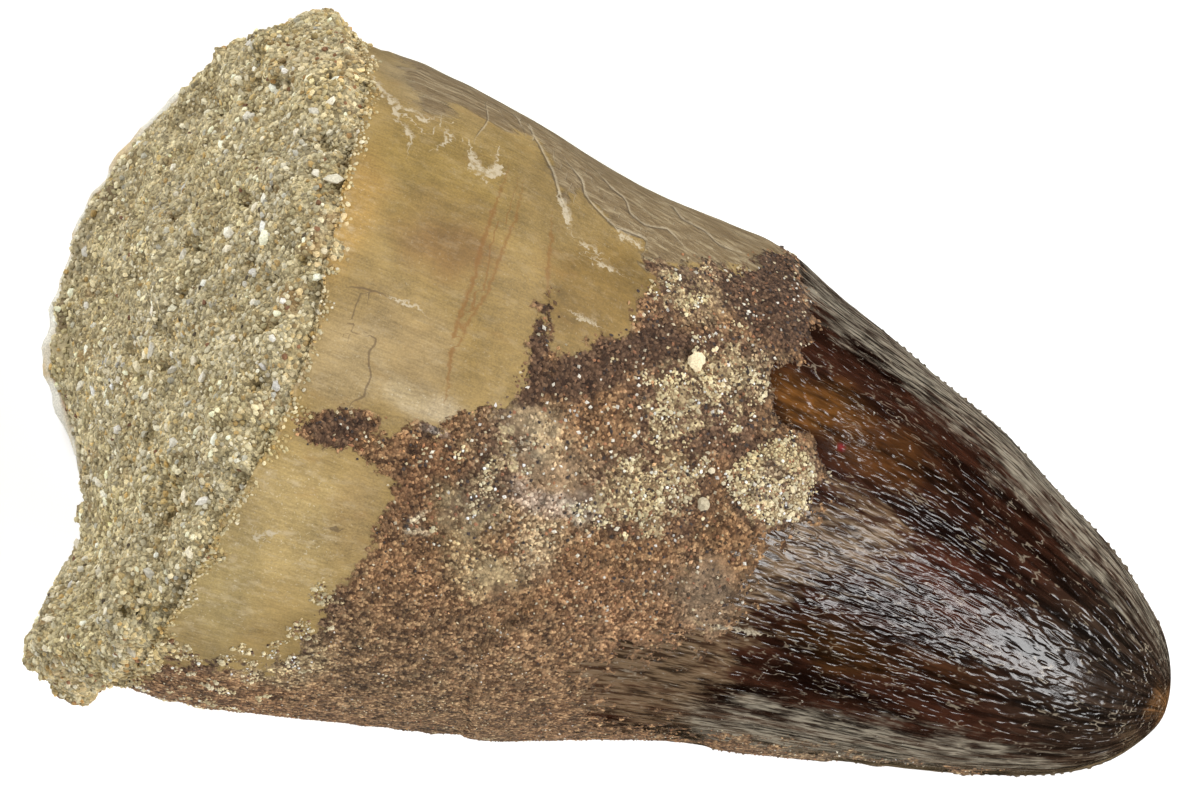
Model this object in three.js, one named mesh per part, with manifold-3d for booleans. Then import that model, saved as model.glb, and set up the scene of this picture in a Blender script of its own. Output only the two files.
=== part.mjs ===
// A fossil mosasaur tooth lying on its side: one conical crown of dentine and enamel, with the sandy
// rock that still fills and caps its broken base. Thin crusts of sand have grown onto the crown.
//
// Frame, in millimetres: the origin is on the surface that the tooth rests on, under the middle of its
// bounding box. +X runs from the broken base to the tip, +Y towards the front cutting edge, +Z up.

import * as THREE from 'three';
import { mergeVertices } from 'three/addons/utils/BufferGeometryUtils.js';
import { ImprovedNoise } from 'three/addons/math/ImprovedNoise.js';
import Module from 'manifold-3d';

// ---- Driving dimensions ----

const TIP_X = 29.9; // the worn point of the crown
const BASE_X = -20; // the cross-section here stands for the whole broken base
const WALL = 2.2; // thickness of the far wall where it runs on past the break
const BREAK_LIP = 0.3; // width of the crown's edge elsewhere around the break
const BREAK_LEAN = 0.24; // how far the break leans back towards the base, per millimetre of depth
const GAP = 0.3; // clearance between the crown and the rock
const ROCK_PROUD = 0.3; // at its sides the rock stands this far outside the crown's own outline
const ROCK_SHY = 0.3; // along the top of the break it lies this far below the crown's surface
const ROCK_LIP = 0.55; // thickness of the rock at the near edge of the break
const FACE_BULGE = 0.7; // below 1 the sandy face swells out between its near and far edges
const RIM_BARE = 0.6; // width of the far wall's end that the rock leaves bare
const WAIST = 0.43; // height of the cutting edges, as a share of the crown's thickness

// Cross-sections of the crown: distance behind the tip, front edge y, back edge y, top z, underside z.
const SECTIONS = [
  [0, 0, 0, 5, 5],
  [0.75, 2.6, -1.9, 7.2, 3.4],
  [3, 5, -4.2, 9.4, 2.5],
  [8, 8.4, -6.3, 12.9, 1.3],
  [16, 12, -8.3, 17, 0.5],
  [27, 14.8, -10.7, 21.4, -0.1],
  [38, 17, -14.3, 25, -0.35],
  [47, 17.9, -16.4, 26, -0.2],
  [64, 17.2, -16.2, 26, 0.4],
];

// The near edge of the break, on top of the crown: y, x.
const NEAR_EDGE = [
  [-18, -20.2],
  [-14.7, -18.9],
  [-7, -17.4],
  [-1.2, -16.4],
  [3, -16.4],
  [7, -17],
  [11, -17.6],
  [16, -18.4],
  [18, -19.8],
];

// The far edge of the break, along the underside: y, x.
const FAR_EDGE = [
  [-18.5, -22.2],
  [-16.5, -24.8],
  [-13.5, -24.7],
  [-9.8, -25.2],
  [-6.5, -26.4],
  [-3.5, -28.7],
  [0, -29.6],
  [4, -29.9],
  [9, -28.9],
  [12.3, -27.4],
  [15, -25.8],
  [17.3, -24],
  [18.5, -21.5],
];

// The far wall runs on past the break between these two places around the underside, in degrees.
const WALL_BACK = { gone: 226, full: 244 };
const WALL_FRONT = { full: 322, gone: 338 };

// Cutting edges: where each runs around the crown, in degrees, how tall it is, and where it dies out.
const KEELS = [
  { around: 0, height: 0.35, fullFrom: 2, goneAt: -6 },
  { around: 180, height: 0.3, fullFrom: 12, goneAt: 4 },
];
const KEEL_WIDTH = 5; // degrees

// Enamel stands above the bare dentine; its edge on the front flank and top: y, x.
const ENAMEL_EDGE = [
  [-10, 2.5],
  [4, 3],
  [12, 2.6],
  [13.5, -2.7],
  [15, -6.6],
  [16, -10],
  [17, -15],
];
const ENAMEL_STEP = 0.25;
const SINK = 0.15; // the bare dentine lies this far inside the smooth form

// Relief of the grown surfaces: height and pitch of each kind, and how far it is drawn out.
const SWELLS = { height: 0.25, pitch: 8 };
const ENAMEL_FLUTES = { height: 0.16, pitch: 3.1, drawnAlong: 5 };
const GROWTH_BANDS = { height: 0.1, pitch: 6, drawnAround: 3, crowdedAlong: 2.5 };
const FACE_ROUGHNESS = { broad: 0.9, broadPitch: 4.2, fine: 0.5, finePitch: 1.7 };
const SIDE_ROUGHNESS = { height: 0.7, pitch: 2.3 };
const BREAK_ROUGHNESS = { height: 0.35, pitch: 2.4 };
const RIM_ROUGHNESS = 0.7;

// Crusts of cemented sand: middle x and y, reach along x and y, thickness; side is 1 on top,
// -1 underneath and 0 at the edge between them.
const CRUSTS = [
  { x: 3.6, y: 5.6, reachX: 4.6, reachY: 5.2, height: 0.45, side: 1 },
  { x: 7.4, y: 4, reachX: 2.3, reachY: 2.4, height: 0.75, side: 1 },
  { x: -0.4, y: 11.6, reachX: 4, reachY: 2, height: 0.4, side: 1 },
  { x: -1.5, y: -3, reachX: 8.5, reachY: 6, height: 0.4, side: 1 },
  { x: -10.5, y: -12.2, reachX: 8.5, reachY: 3.4, height: 0.45, side: 1 },
  { x: 2.5, y: -9, reachX: 7, reachY: 3, height: 0.4, side: 1 },
  { x: 12, y: -8.4, reachX: 5, reachY: 1.6, height: 0.5, side: 1 },
  { x: -18, y: 17, reachX: 3.4, reachY: 2.2, height: 0.45, side: 0 },
  { x: 4, y: 7, reachX: 5, reachY: 4, height: 0.4, side: -1 },
  { x: -12, y: -9, reachX: 7, reachY: 5, height: 0.4, side: -1 },
];
const CRUST_EDGE = 0.3; // share of a crust over which it thins out
const CRUST_LUMPS = { pitch: 1.9, raggedPitch: 2.6 };

// Lumps of rock at the rim of the break: middle and reach along x, y and z.
const LUMPS = [
  { at: [-22.1, -15.3, 7.2], reach: [3, 2.7, 4.8] },
  { at: [-21.4, 15.3, 11.5], reach: [2.6, 1.9, 4.6] },
  { at: [-23.3, 13.7, 7], reach: [2, 1.9, 3] },
  { at: [-19.3, 12.4, 18.8], reach: [1.4, 3, 1.8] },
  { at: [-20.4, -11.6, 18], reach: [1.5, 2.6, 2] },
];
const LUMP_FACETS = { columns: 14, rings: 9 };

// Pits and hollows in the sandy face: y, z, radius and depth.
const PITS = [
  { y: -3.5, z: 17.5, radius: 1.8, depth: 0.9 },
  { y: 7.5, z: 13, radius: 2.2, depth: 0.9 },
  { y: -8.6, z: 10.4, radius: 1.7, depth: 0.8 },
  { y: 11.5, z: 8.6, radius: 1.6, depth: 0.8 },
  { y: 1.5, z: 7.6, radius: 2.4, depth: 0.7 },
  { y: -12.6, z: 14.5, radius: 1.5, depth: 0.7 },
];

// Facets: columns around the tooth, and rings along each stretch of the two forms.
const CROWN_COLUMNS = 64;
const CROWN_RINGS = { outside: 34, wallEnd: 1, bowl: 7 };
const TIP_CROWDING = 0.25; // smaller draws more of the rings towards the tip
const BOWL_CROWDING = 1.6; // larger draws more of the bowl's rings towards its wall
const ROCK_COLUMNS = 60;
const ROCK_RINGS = { hidden: 2, side: 6, face: 19 };
const ROCK_ROOT_X = -15; // the rock's blank starts inside the crown, where it is cut away
const ROCK_RIM_X = -22; // its rim is laid out on the cross-section here
const CUTTER_OUT = 1.5; // the cutter that makes room for the crown is larger than it by this much

// ---- Helpers ----

const { lerp, smoothstep, degToRad, radToDeg, euclideanModulo, clamp } = THREE.MathUtils;
const grain = new ImprovedNoise();

function curveThrough(rows) {
  const keys = rows.map((row) => row[0]);
  const values = rows.flatMap((row) => row.slice(1));
  const curve = new THREE.CubicInterpolant(keys, new Float64Array(values), rows[0].length - 1);
  return (key) => curve.evaluate(clamp(key, keys[0], keys[keys.length - 1]));
}

function noiseAt(x, y, z, pitch) {
  return grain.noise(x / pitch + 31.7, y / pitch + 17.3, z / pitch + 5.1);
}

// A sphere with its poles on X, moved ring by ring: place(angle, ring) gives each point.
function formedSphere(columns, rings, place) {
  const sphere = new THREE.SphereGeometry(1, columns, rings);
  const positions = sphere.getAttribute('position');
  const uvs = sphere.getAttribute('uv');
  for (let i = 0; i < positions.count; i += 1) {
    const angle = uvs.getX(i) * Math.PI * 2;
    const ring = Math.round((1 - uvs.getY(i)) * rings);
    const point = place(angle, ring);
    positions.setXYZ(i, point.x, point.y, point.z);
  }
  sphere.deleteAttribute('normal');
  sphere.deleteAttribute('uv');
  return mergeVertices(sphere, 1e-5);
}

// ---- The crown's form ----

// The roots of the distances give the tip its round end.
const sectionCurve = curveThrough(SECTIONS.map(([behind, ...edges]) => [Math.sqrt(behind), ...edges]));
const nearEdge = curveThrough(NEAR_EDGE);
const farEdge = curveThrough(FAR_EDGE);
const enamelEdge = curveThrough(ENAMEL_EDGE);

function sectionAt(x) {
  const [front, back, top, bottom] = sectionCurve(Math.sqrt(Math.max(TIP_X - x, 0)));
  const middleZ = lerp(bottom, top, WAIST);
  return {
    y: (front + back) / 2,
    z: middleZ,
    halfWidth: (front - back) / 2,
    up: top - middleZ,
    down: middleZ - bottom,
  };
}

// A point of the smooth form at x and an angle from the front edge, moved out by a distance.
function formPoint(x, angle, out = 0) {
  const section = sectionAt(x);
  const height = Math.sin(angle) > 0 ? section.up : section.down;
  const y = section.halfWidth * Math.cos(angle);
  const z = height * Math.sin(angle);
  const reach = Math.hypot(y, z);
  const grow = reach > 0 ? 1 + out / reach : 1;
  return new THREE.Vector3(x, section.y + y * grow, section.z + z * grow);
}

function crustAt(point, up) {
  let level = 0;
  for (const crust of CRUSTS) {
    const reach = Math.hypot((point.x - crust.x) / crust.reachX, (point.y - crust.y) / crust.reachY);
    const ragged = reach + 0.35 * noiseAt(point.x, point.y, point.z, CRUST_LUMPS.raggedPitch);
    const cover = 1 - smoothstep(ragged, 1 - CRUST_EDGE, 1);
    const facing = crust.side === 0 ? 1 : smoothstep(up * crust.side, 0, 0.25);
    level = Math.max(level, crust.height * cover * facing);
  }
  const lumpy = 0.9 * (1 + noiseAt(point.x, point.y, point.z, CRUST_LUMPS.pitch));
  return level * lumpy;
}

function keelAt(x, angle) {
  let level = 0;
  for (const keel of KEELS) {
    const turn = euclideanModulo(radToDeg(angle) - keel.around + 180, 360) - 180;
    const across = Math.exp(-((turn / KEEL_WIDTH) ** 2));
    level += keel.height * across * smoothstep(x, keel.goneAt, keel.fullFrom);
  }
  return level;
}

// How far the real surface stands off the smooth form: swells, enamel flutes, ledges and crusts.
function crownRelief(point, angle) {
  const up = Math.sin(angle);
  const behind = TIP_X - point.x;
  const { x, y, z } = point;
  const swell = SWELLS.height * noiseAt(x, y, z, SWELLS.pitch) - SINK;
  const enamel = smoothstep(x - enamelEdge(y)[0], -0.6, 0.8);
  const flute = noiseAt(x / ENAMEL_FLUTES.drawnAlong, y, z, ENAMEL_FLUTES.pitch);
  const { crowdedAlong, drawnAround, pitch } = GROWTH_BANDS;
  const band = noiseAt(x * crowdedAlong, y / drawnAround, z / drawnAround, pitch);
  const grown = lerp(GROWTH_BANDS.height * band, ENAMEL_STEP + ENAMEL_FLUTES.height * flute, enamel);
  const relief = swell + grown + crustAt(point, up);
  return (relief + keelAt(point.x, angle)) * smoothstep(behind, 0, 2.5);
}

// ---- The broken base ----

const baseSection = sectionAt(BASE_X);

function heightsAt(y) {
  const across = clamp((y - baseSection.y) / baseSection.halfWidth, -0.995, 0.995);
  const rise = Math.sqrt(1 - across * across);
  return {
    top: baseSection.z + baseSection.up * rise,
    insideBottom: baseSection.z - Math.max(baseSection.down * rise - WALL / Math.max(rise, 0.4), 0),
  };
}

// The break through the crown: it leans back towards the base as it goes down.
function breakX(y, z) {
  const ragged = BREAK_ROUGHNESS.height * noiseAt(0, y, z, BREAK_ROUGHNESS.pitch);
  return nearEdge(y)[0] + ragged - BREAK_LEAN * Math.max(heightsAt(y).top - z, 0);
}

// 1 where the far wall runs on past the break, 0 where the crown ends at the break.
function wallShare(angle) {
  const turn = radToDeg(angle);
  const back = smoothstep(turn, WALL_BACK.gone, WALL_BACK.full);
  const front = 1 - smoothstep(turn, WALL_FRONT.full, WALL_FRONT.gone);
  return back * front;
}

function rimX(angle) {
  let x = BASE_X;
  for (let pass = 0; pass < 4; pass += 1) {
    const point = formPoint(x, angle);
    x = lerp(breakX(point.y, point.z), farEdge(point.y)[0], wallShare(angle));
  }
  const ragged = RIM_ROUGHNESS * grain.noise(Math.cos(angle) * 6, Math.sin(angle) * 6, 3.3);
  return x + Math.abs(ragged) * wallShare(angle);
}

// The crown: its outside from the tip to the rim, the end of its wall, and the bowl that the rock
// fills. With a clearance it is the space that the rock keeps out of.
function crownGeometry(clearance) {
  const wallRing = CROWN_RINGS.outside + CROWN_RINGS.wallEnd;
  return formedSphere(CROWN_COLUMNS, wallRing + CROWN_RINGS.bowl, (angle, ring) => {
    const rim = rimX(angle) - clearance;
    if (ring <= CROWN_RINGS.outside) {
      const along = ring / CROWN_RINGS.outside;
      const share = (along * along * (1 + TIP_CROWDING)) / (along + TIP_CROWDING);
      const x = lerp(TIP_X, rim, share);
      if (clearance > 0) {
        return formPoint(x, angle, CUTTER_OUT);
      }
      return formPoint(x, angle, crownRelief(formPoint(x, angle), angle));
    }
    const inset = lerp(BREAK_LIP, WALL, wallShare(angle)) + clearance;
    const edge = formPoint(rim, angle, -inset);
    const inward = ((ring - wallRing) / CROWN_RINGS.bowl) ** BOWL_CROWDING;
    const y = lerp(edge.y, baseSection.y, inward);
    const z = lerp(edge.z, baseSection.z, inward);
    const dish = smoothstep(1 - inward, 0.8, 1);
    return new THREE.Vector3(lerp(breakX(y, z) - clearance, rim, dish), y, z);
  });
}

// ---- The rock ----

function faceX(y, z) {
  const { top, insideBottom } = heightsAt(y);
  const depth = clamp((top - z) / Math.max(top - insideBottom, 2), 0, 1);
  const near = nearEdge(y)[0] - ROCK_LIP;
  const far = farEdge(y)[0] + RIM_BARE;
  let x = lerp(near, far, depth ** FACE_BULGE);
  const broad = FACE_ROUGHNESS.broad * noiseAt(x, y, z, FACE_ROUGHNESS.broadPitch);
  const fine = FACE_ROUGHNESS.fine * noiseAt(x, y, z, FACE_ROUGHNESS.finePitch);
  x += (broad + fine) * smoothstep(depth, 0, 0.08);
  for (const pit of PITS) {
    const reach = Math.hypot(y - pit.y, z - pit.z) / pit.radius;
    x += pit.depth * Math.exp(-reach * reach);
  }
  return Math.max(x, farEdge(y)[0] + RIM_BARE / 2);
}

// The rock lies low along the top of the break and stands proud at its sides and below.
function rockSide(x, angle) {
  const aside = smoothstep(Math.abs(angle - Math.PI / 2), degToRad(45), degToRad(80));
  const bare = formPoint(x, angle);
  const lumpy = SIDE_ROUGHNESS.height * noiseAt(bare.x, bare.y, bare.z, SIDE_ROUGHNESS.pitch);
  return formPoint(x, angle, lerp(-ROCK_SHY, ROCK_PROUD + lumpy, aside));
}

function rockLump({ at, reach }) {
  const middle = new THREE.Vector3(...at);
  const { columns, rings } = LUMP_FACETS;
  return formedSphere(columns, rings, (angle, ring) => {
    const tilt = (ring / rings) * Math.PI;
    const across = Math.sin(tilt);
    const ray = new THREE.Vector3(Math.cos(tilt), across * Math.cos(angle), across * Math.sin(angle));
    const lumpy = 1 + 0.3 * noiseAt(at[0] + ray.x, at[1] + ray.y, at[2] + ray.z, 0.6);
    return ray.multiply(new THREE.Vector3(...reach)).multiplyScalar(lumpy).add(middle);
  });
}

function rockBlank() {
  const rimRing = ROCK_RINGS.hidden + ROCK_RINGS.side;
  return formedSphere(ROCK_COLUMNS, rimRing + ROCK_RINGS.face, (angle, ring) => {
    if (ring < ROCK_RINGS.hidden) {
      const spread = ring / ROCK_RINGS.hidden;
      const edge = formPoint(ROCK_ROOT_X, angle);
      return new THREE.Vector3(
        ROCK_ROOT_X,
        lerp(baseSection.y, edge.y, spread),
        lerp(baseSection.z, edge.z, spread),
      );
    }
    const middle = formPoint(ROCK_RIM_X, angle);
    const edgeX = faceX(middle.y, middle.z);
    if (ring <= rimRing) {
      return rockSide(lerp(ROCK_ROOT_X, edgeX, (ring - ROCK_RINGS.hidden) / ROCK_RINGS.side), angle);
    }
    const inward = (ring - rimRing) / ROCK_RINGS.face;
    const edge = rockSide(edgeX, angle);
    const y = lerp(edge.y, baseSection.y, inward);
    const z = lerp(edge.z, baseSection.z, inward);
    return new THREE.Vector3(faceX(y, z), y, z);
  });
}

// ---- Joins and cuts ----

const wasm = await Module();
wasm.setup();

function toSolid(geometry) {
  const vertProperties = new Float32Array(geometry.getAttribute('position').array);
  const triVerts = new Uint32Array(geometry.getIndex().array);
  return new wasm.Manifold(new wasm.Mesh({ numProp: 3, vertProperties, triVerts }));
}

function toMesh(name, solid, material) {
  const { vertProperties, triVerts } = solid.getMesh();
  const geometry = new THREE.BufferGeometry();
  geometry.setAttribute('position', new THREE.BufferAttribute(vertProperties, 3));
  geometry.setIndex(new THREE.BufferAttribute(triVerts, 1));
  geometry.computeVertexNormals();
  const mesh = new THREE.Mesh(geometry, material);
  mesh.name = name;
  return mesh;
}

// Everything below the resting surface, which cuts the flat spot under the tooth.
const groundBlock = new THREE.BoxGeometry(120, 120, 20);
groundBlock.translate(0, 0, -10);
groundBlock.deleteAttribute('normal');
groundBlock.deleteAttribute('uv');
const ground = toSolid(mergeVertices(groundBlock));

const crown = toSolid(crownGeometry(0)).subtract(ground);
const plug = LUMPS.reduce((solid, lump) => solid.add(toSolid(rockLump(lump))), toSolid(rockBlank()));
const rock = plug.subtract(toSolid(crownGeometry(GAP))).subtract(ground);

// ---- The tooth ----

const enamelAndDentine = new THREE.MeshStandardMaterial({ color: '#5b3e26', roughness: 0.35, metalness: 0 });
const sandstone = new THREE.MeshStandardMaterial({ color: '#a99d78', roughness: 0.95, metalness: 0 });

const tooth = new THREE.Group();
tooth.name = 'mosasaur_tooth';
tooth.add(toMesh('tooth_crown', crown, enamelAndDentine));
tooth.add(toMesh('sand_matrix', rock, sandstone));

export default tooth;
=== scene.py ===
"""A fossil mosasaur tooth lying on its side: the grown crown, the sandy rock in its broken base, and
the separate grains of sand that are cemented onto both."""

import itertools
import logging
import math
from collections.abc import Sequence
from dataclasses import dataclass, field
from enum import Enum
from functools import partial, reduce

import bpy
import numpy as np
from bpy.types import Material, Mesh, Node, NodeSocket, Object, World
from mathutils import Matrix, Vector
from mathutils.bvhtree import BVHTree


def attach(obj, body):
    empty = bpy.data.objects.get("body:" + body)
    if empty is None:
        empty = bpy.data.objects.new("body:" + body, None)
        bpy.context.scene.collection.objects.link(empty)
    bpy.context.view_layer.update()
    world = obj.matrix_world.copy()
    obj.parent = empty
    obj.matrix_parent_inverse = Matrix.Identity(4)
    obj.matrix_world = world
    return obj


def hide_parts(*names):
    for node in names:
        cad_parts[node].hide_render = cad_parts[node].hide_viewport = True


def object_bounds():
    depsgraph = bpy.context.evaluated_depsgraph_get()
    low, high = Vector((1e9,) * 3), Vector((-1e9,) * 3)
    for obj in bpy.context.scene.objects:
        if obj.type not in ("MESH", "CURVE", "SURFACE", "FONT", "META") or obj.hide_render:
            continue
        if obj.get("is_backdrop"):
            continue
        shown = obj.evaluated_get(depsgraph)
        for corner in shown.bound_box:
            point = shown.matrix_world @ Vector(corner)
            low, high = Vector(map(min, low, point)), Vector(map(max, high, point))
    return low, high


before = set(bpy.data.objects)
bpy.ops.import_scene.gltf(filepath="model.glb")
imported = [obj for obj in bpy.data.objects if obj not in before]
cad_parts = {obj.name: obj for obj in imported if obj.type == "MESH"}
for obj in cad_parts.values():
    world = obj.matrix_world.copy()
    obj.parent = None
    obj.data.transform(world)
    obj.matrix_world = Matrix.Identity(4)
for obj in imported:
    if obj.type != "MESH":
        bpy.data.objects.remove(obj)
CAD_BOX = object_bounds()

logging.basicConfig(level=logging.INFO, format="%(name)s: %(message)s")
LOG = logging.getLogger("tooth")

Array = np.ndarray
Colour = tuple[float, float, float]
Place = tuple[float, float]
Socket = NodeSocket
# A surface as nodes: its colour, its height in millimetres and its roughness.
Surface = tuple[Socket, Socket, Socket | float]

MM = 0.001

# The view that the outlines below are laid out for, in millimetres.
VIEW_MIDDLE = (-2.15, 5.0)
VIEW_DISTANCE = 560.0
VIEW_HEIGHT = 8.0
VIEW_WIDTH = 60.0
VIEW_TURN = 20.0

# Lines along the crown are drawn on a tube of this radius, and near the tip on a thinner one.
FLOW_RADIUS = 12.0
SLENDER_RADIUS = 5.5


# ---- Numbers: blends, noise and curves ----

def blend(low: Array | float, high: Array | float, share: Array | float) -> Array:
    """Returns the value part of the way from low to high."""
    return low + (high - low) * share


def ease(value: Array, start: float, end: float) -> Array:
    """Eases from 0 at start to 1 at end.

    Args:
        value: The numbers to read.
        start: Where the rise begins.
        end: Where it is complete.

    Returns:
        A share from 0 to 1 for each number.
    """
    share = np.clip((value - start) / (end - start), 0.0, 1.0)
    return share * share * (3.0 - 2.0 * share)


def hump(value: Array, width: float) -> Array:
    """Returns 1 where the value is 0, falling smoothly to nothing beyond the width."""
    return np.exp(-((value / width) ** 2))


class GradientNoise:
    """Smooth seeded noise in space, from about -1 to 1."""

    CELLS = 1024
    SPREAD = 1.7

    def __init__(self, seed: int) -> None:
        """Draws the order and the slopes of the noise from a seed."""
        rng = np.random.default_rng(seed)
        self._order = np.tile(rng.permutation(self.CELLS), 2)
        slopes = rng.normal(size=(self.CELLS, 3))
        self._slopes = slopes / np.linalg.norm(slopes, axis=1, keepdims=True)

    def at(self, points: Array, pitch: float = 1.0, shift: float = 0.0) -> Array:
        """Reads the noise.

        Args:
            points: Places, one row each.
            pitch: Distance from one swell to the next.
            shift: Moves the pattern, so that one seed gives many.

        Returns:
            One number for each place.
        """
        place = points / pitch + shift
        cell = np.floor(place).astype(np.int64)
        inside = place - cell
        weight = inside**3 * (inside * (inside * 6.0 - 15.0) + 10.0)
        total = np.zeros(len(points))
        last = self.CELLS - 1
        for corner in range(8):
            step = np.array([corner & 1, (corner >> 1) & 1, corner >> 2])
            key = (cell + step) & last
            hashed = self._order[self._order[self._order[key[:, 0]] + key[:, 1]] + key[:, 2]]
            near = np.where(step, weight, 1.0 - weight).prod(axis=1)
            total += near * ((inside - step) * self._slopes[hashed]).sum(axis=1)
        return total * self.SPREAD

    def layered(self, points: Array, pitch: float, layers: int, shift: float = 0.0) -> Array:
        """Adds finer and weaker layers of the noise.

        Args:
            points: Places, one row each.
            pitch: Pitch of the broadest layer.
            layers: How many layers, each half the pitch and strength of the one before.
            shift: Moves the pattern.

        Returns:
            One number for each place, from about -1 to 1.
        """
        total = np.zeros(len(points))
        for layer in range(layers):
            total += self.at(points, pitch / 2**layer, shift + 7.3 * layer) / 2**layer
        return total * 0.66


NOISE = GradientNoise(41)


class SmoothCurve:
    """A smooth curve through rows of values, held level beyond its ends."""

    def __init__(self, rows: Sequence[Sequence[float]]) -> None:
        """Takes rows of a key and its values, in order of the key."""
        table = np.array(rows, dtype=float)
        self._keys = table[:, 0]
        self._values = table[:, 1:]

    def at(self, key: Array) -> Array:
        """Reads the curve.

        Args:
            key: Where to read it.

        Returns:
            One row of values for each key.
        """
        keys, values = self._keys, self._values
        last = len(keys) - 1
        key = np.clip(key, keys[0], keys[-1])
        high = np.clip(np.searchsorted(keys, key, side="right"), 1, last)
        low = high - 1
        before = np.where(low > 0, low - 1, high)
        after = np.where(high < last, high + 1, low)
        run = keys[high] - keys[low]
        p = (key - keys[low]) / run
        w_before = 0.5 * run / (keys[low] - keys[before])
        w_after = 0.5 * run / (keys[after] - keys[high])
        p2, p3 = p * p, p * p * p
        s_before = -w_before * p3 + 2.0 * w_before * p2 - w_before * p
        s_low = (1.0 + w_before) * p3 + (-1.5 - 2.0 * w_before) * p2 + (w_before - 0.5) * p + 1.0
        s_high = (-1.0 - w_after) * p3 + (1.5 + w_after) * p2 + 0.5 * p
        s_after = w_after * p3 - w_after * p2
        shares = (s_before, s_low, s_high, s_after)
        rows = (before, low, high, after)
        return sum(share[:, None] * values[row] for share, row in zip(shares, rows))


# ---- The form that the crown grew to ----

@dataclass(frozen=True)
class Section:
    """The crown's cross-section at each of many places along it, in millimetres."""

    y: Array
    z: Array
    half_width: Array
    up: Array
    down: Array


class ToothForm:
    """The crown's smooth form, the edges of its break and the wall that runs on past it."""

    TIP_X = 29.9
    BASE_X = -20.0
    WAIST = 0.43
    WALL = 2.2
    BREAK_LIP = 0.3
    BREAK_LEAN = 0.24
    WALL_BACK = (226.0, 244.0)
    WALL_FRONT = (322.0, 338.0)
    SECTIONS = (
        (0, 0, 0, 5, 5), (0.75, 2.6, -1.9, 7.2, 3.4), (3, 5, -4.2, 9.4, 2.5), (8, 8.4, -6.3, 12.9, 1.3),
        (16, 12, -8.3, 17, 0.5), (27, 14.8, -10.7, 21.4, -0.1), (38, 17, -14.3, 25, -0.35),
        (47, 17.9, -16.4, 26, -0.2), (64, 17.2, -16.2, 26, 0.4),
    )
    NEAR_EDGE = (
        (-18, -20.2), (-14.7, -18.9), (-7, -17.4), (-1.2, -16.4), (3, -16.4), (7, -17), (11, -17.6),
        (16, -18.4), (18, -19.8),
    )
    FAR_EDGE = (
        (-18.5, -22.2), (-16.5, -24.8), (-13.5, -24.7), (-9.8, -25.2), (-6.5, -26.4), (-3.5, -28.7),
        (0, -29.6), (4, -29.9), (9, -28.9), (12.3, -27.4), (15, -25.8), (17.3, -24), (18.5, -21.5),
    )

    def __init__(self) -> None:
        """Draws the curves through the form's sections and edges."""
        self._sections = SmoothCurve([(math.sqrt(row[0]), *row[1:]) for row in self.SECTIONS])
        self._near = SmoothCurve(self.NEAR_EDGE)
        self._far = SmoothCurve(self.FAR_EDGE)
        self.base = self.section(np.array([self.BASE_X]))

    def section(self, x: Array) -> Section:
        """Returns the cross-section at each x."""
        front, back, top, bottom = self._sections.at(np.sqrt(np.maximum(self.TIP_X - x, 0.0))).T
        middle = blend(bottom, top, self.WAIST)
        return Section((front + back) / 2, middle, (front - back) / 2, top - middle, middle - bottom)

    def point(self, x: Array, angle: Array, out: Array | float = 0.0) -> Array:
        """Places points on the form.

        Args:
            x: How far along the tooth each lies.
            angle: Turn from the front edge, upwards, in radians.
            out: How far off the form each is moved.

        Returns:
            One row of x, y and z for each.
        """
        section = self.section(x)
        y = section.half_width * np.cos(angle)
        z = np.where(np.sin(angle) > 0, section.up, section.down) * np.sin(angle)
        reach = np.hypot(y, z)
        grow = 1.0 + out / np.maximum(reach, 1e-6)
        return np.stack([x, section.y + y * grow, section.z + z * grow], axis=1)

    def off_axis(self, points: Array) -> Array:
        """Returns how far each point lies from the middle of its cross-section."""
        section = self.section(points[:, 0])
        return np.hypot(points[:, 1] - section.y, points[:, 2] - section.z)

    def top_at(self, y: Array) -> Array:
        """Returns the height of the form over each y at the broken base."""
        base = self.base
        across = np.clip((y - base.y) / base.half_width, -0.995, 0.995)
        return base.z + base.up * np.sqrt(1.0 - across * across)

    def near_x(self, y: Array) -> Array:
        """Returns where the break's near edge lies along the tooth, over each y."""
        return self._near.at(y)[:, 0]

    def far_x(self, y: Array) -> Array:
        """Returns where the wall that runs on past the break ends, over each y."""
        return self._far.at(y)[:, 0]

    def break_x(self, y: Array, z: Array) -> Array:
        """Returns where the break passes through each y and z."""
        level = np.stack([np.zeros_like(y), y, z], axis=1)
        ragged = 0.22 * NOISE.layered(level, 1.6, 3)
        return self.near_x(y) + ragged - self.BREAK_LEAN * np.maximum(self.top_at(y) - z, 0.0)

    def wall_share(self, angle: Array) -> Array:
        """Returns 1 where the wall runs on past the break and 0 where it doesn't."""
        turn = np.degrees(angle) % 360.0
        return ease(turn, *self.WALL_BACK) * (1.0 - ease(turn, *self.WALL_FRONT))

    def rim_x(self, angle: Array) -> Array:
        """Returns where the crown ends at each angle."""
        share = self.wall_share(angle)
        x = np.full_like(angle, self.BASE_X)
        for _ in range(4):
            point = self.point(x, angle)
            x = blend(self.break_x(point[:, 1], point[:, 2]), self.far_x(point[:, 1]), share)
        ring = np.stack([np.cos(angle) * 6, np.sin(angle) * 6, np.full_like(angle, 3.3)], axis=1)
        return x + 0.5 * np.abs(NOISE.layered(ring, 0.7, 2)) * share


FORM = ToothForm()


def plan_of(points: Array) -> Array:
    """Projects points onto the plan at the middle height, as seen from the viewing distance."""
    middle = np.array(VIEW_MIDDLE)
    grow = VIEW_DISTANCE / (VIEW_DISTANCE - (points[:, 2] - VIEW_HEIGHT))
    return middle + (points[:, :2] - middle) * grow[:, None]


# ---- What has grown, flaked and stained where, in plan ----

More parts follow.
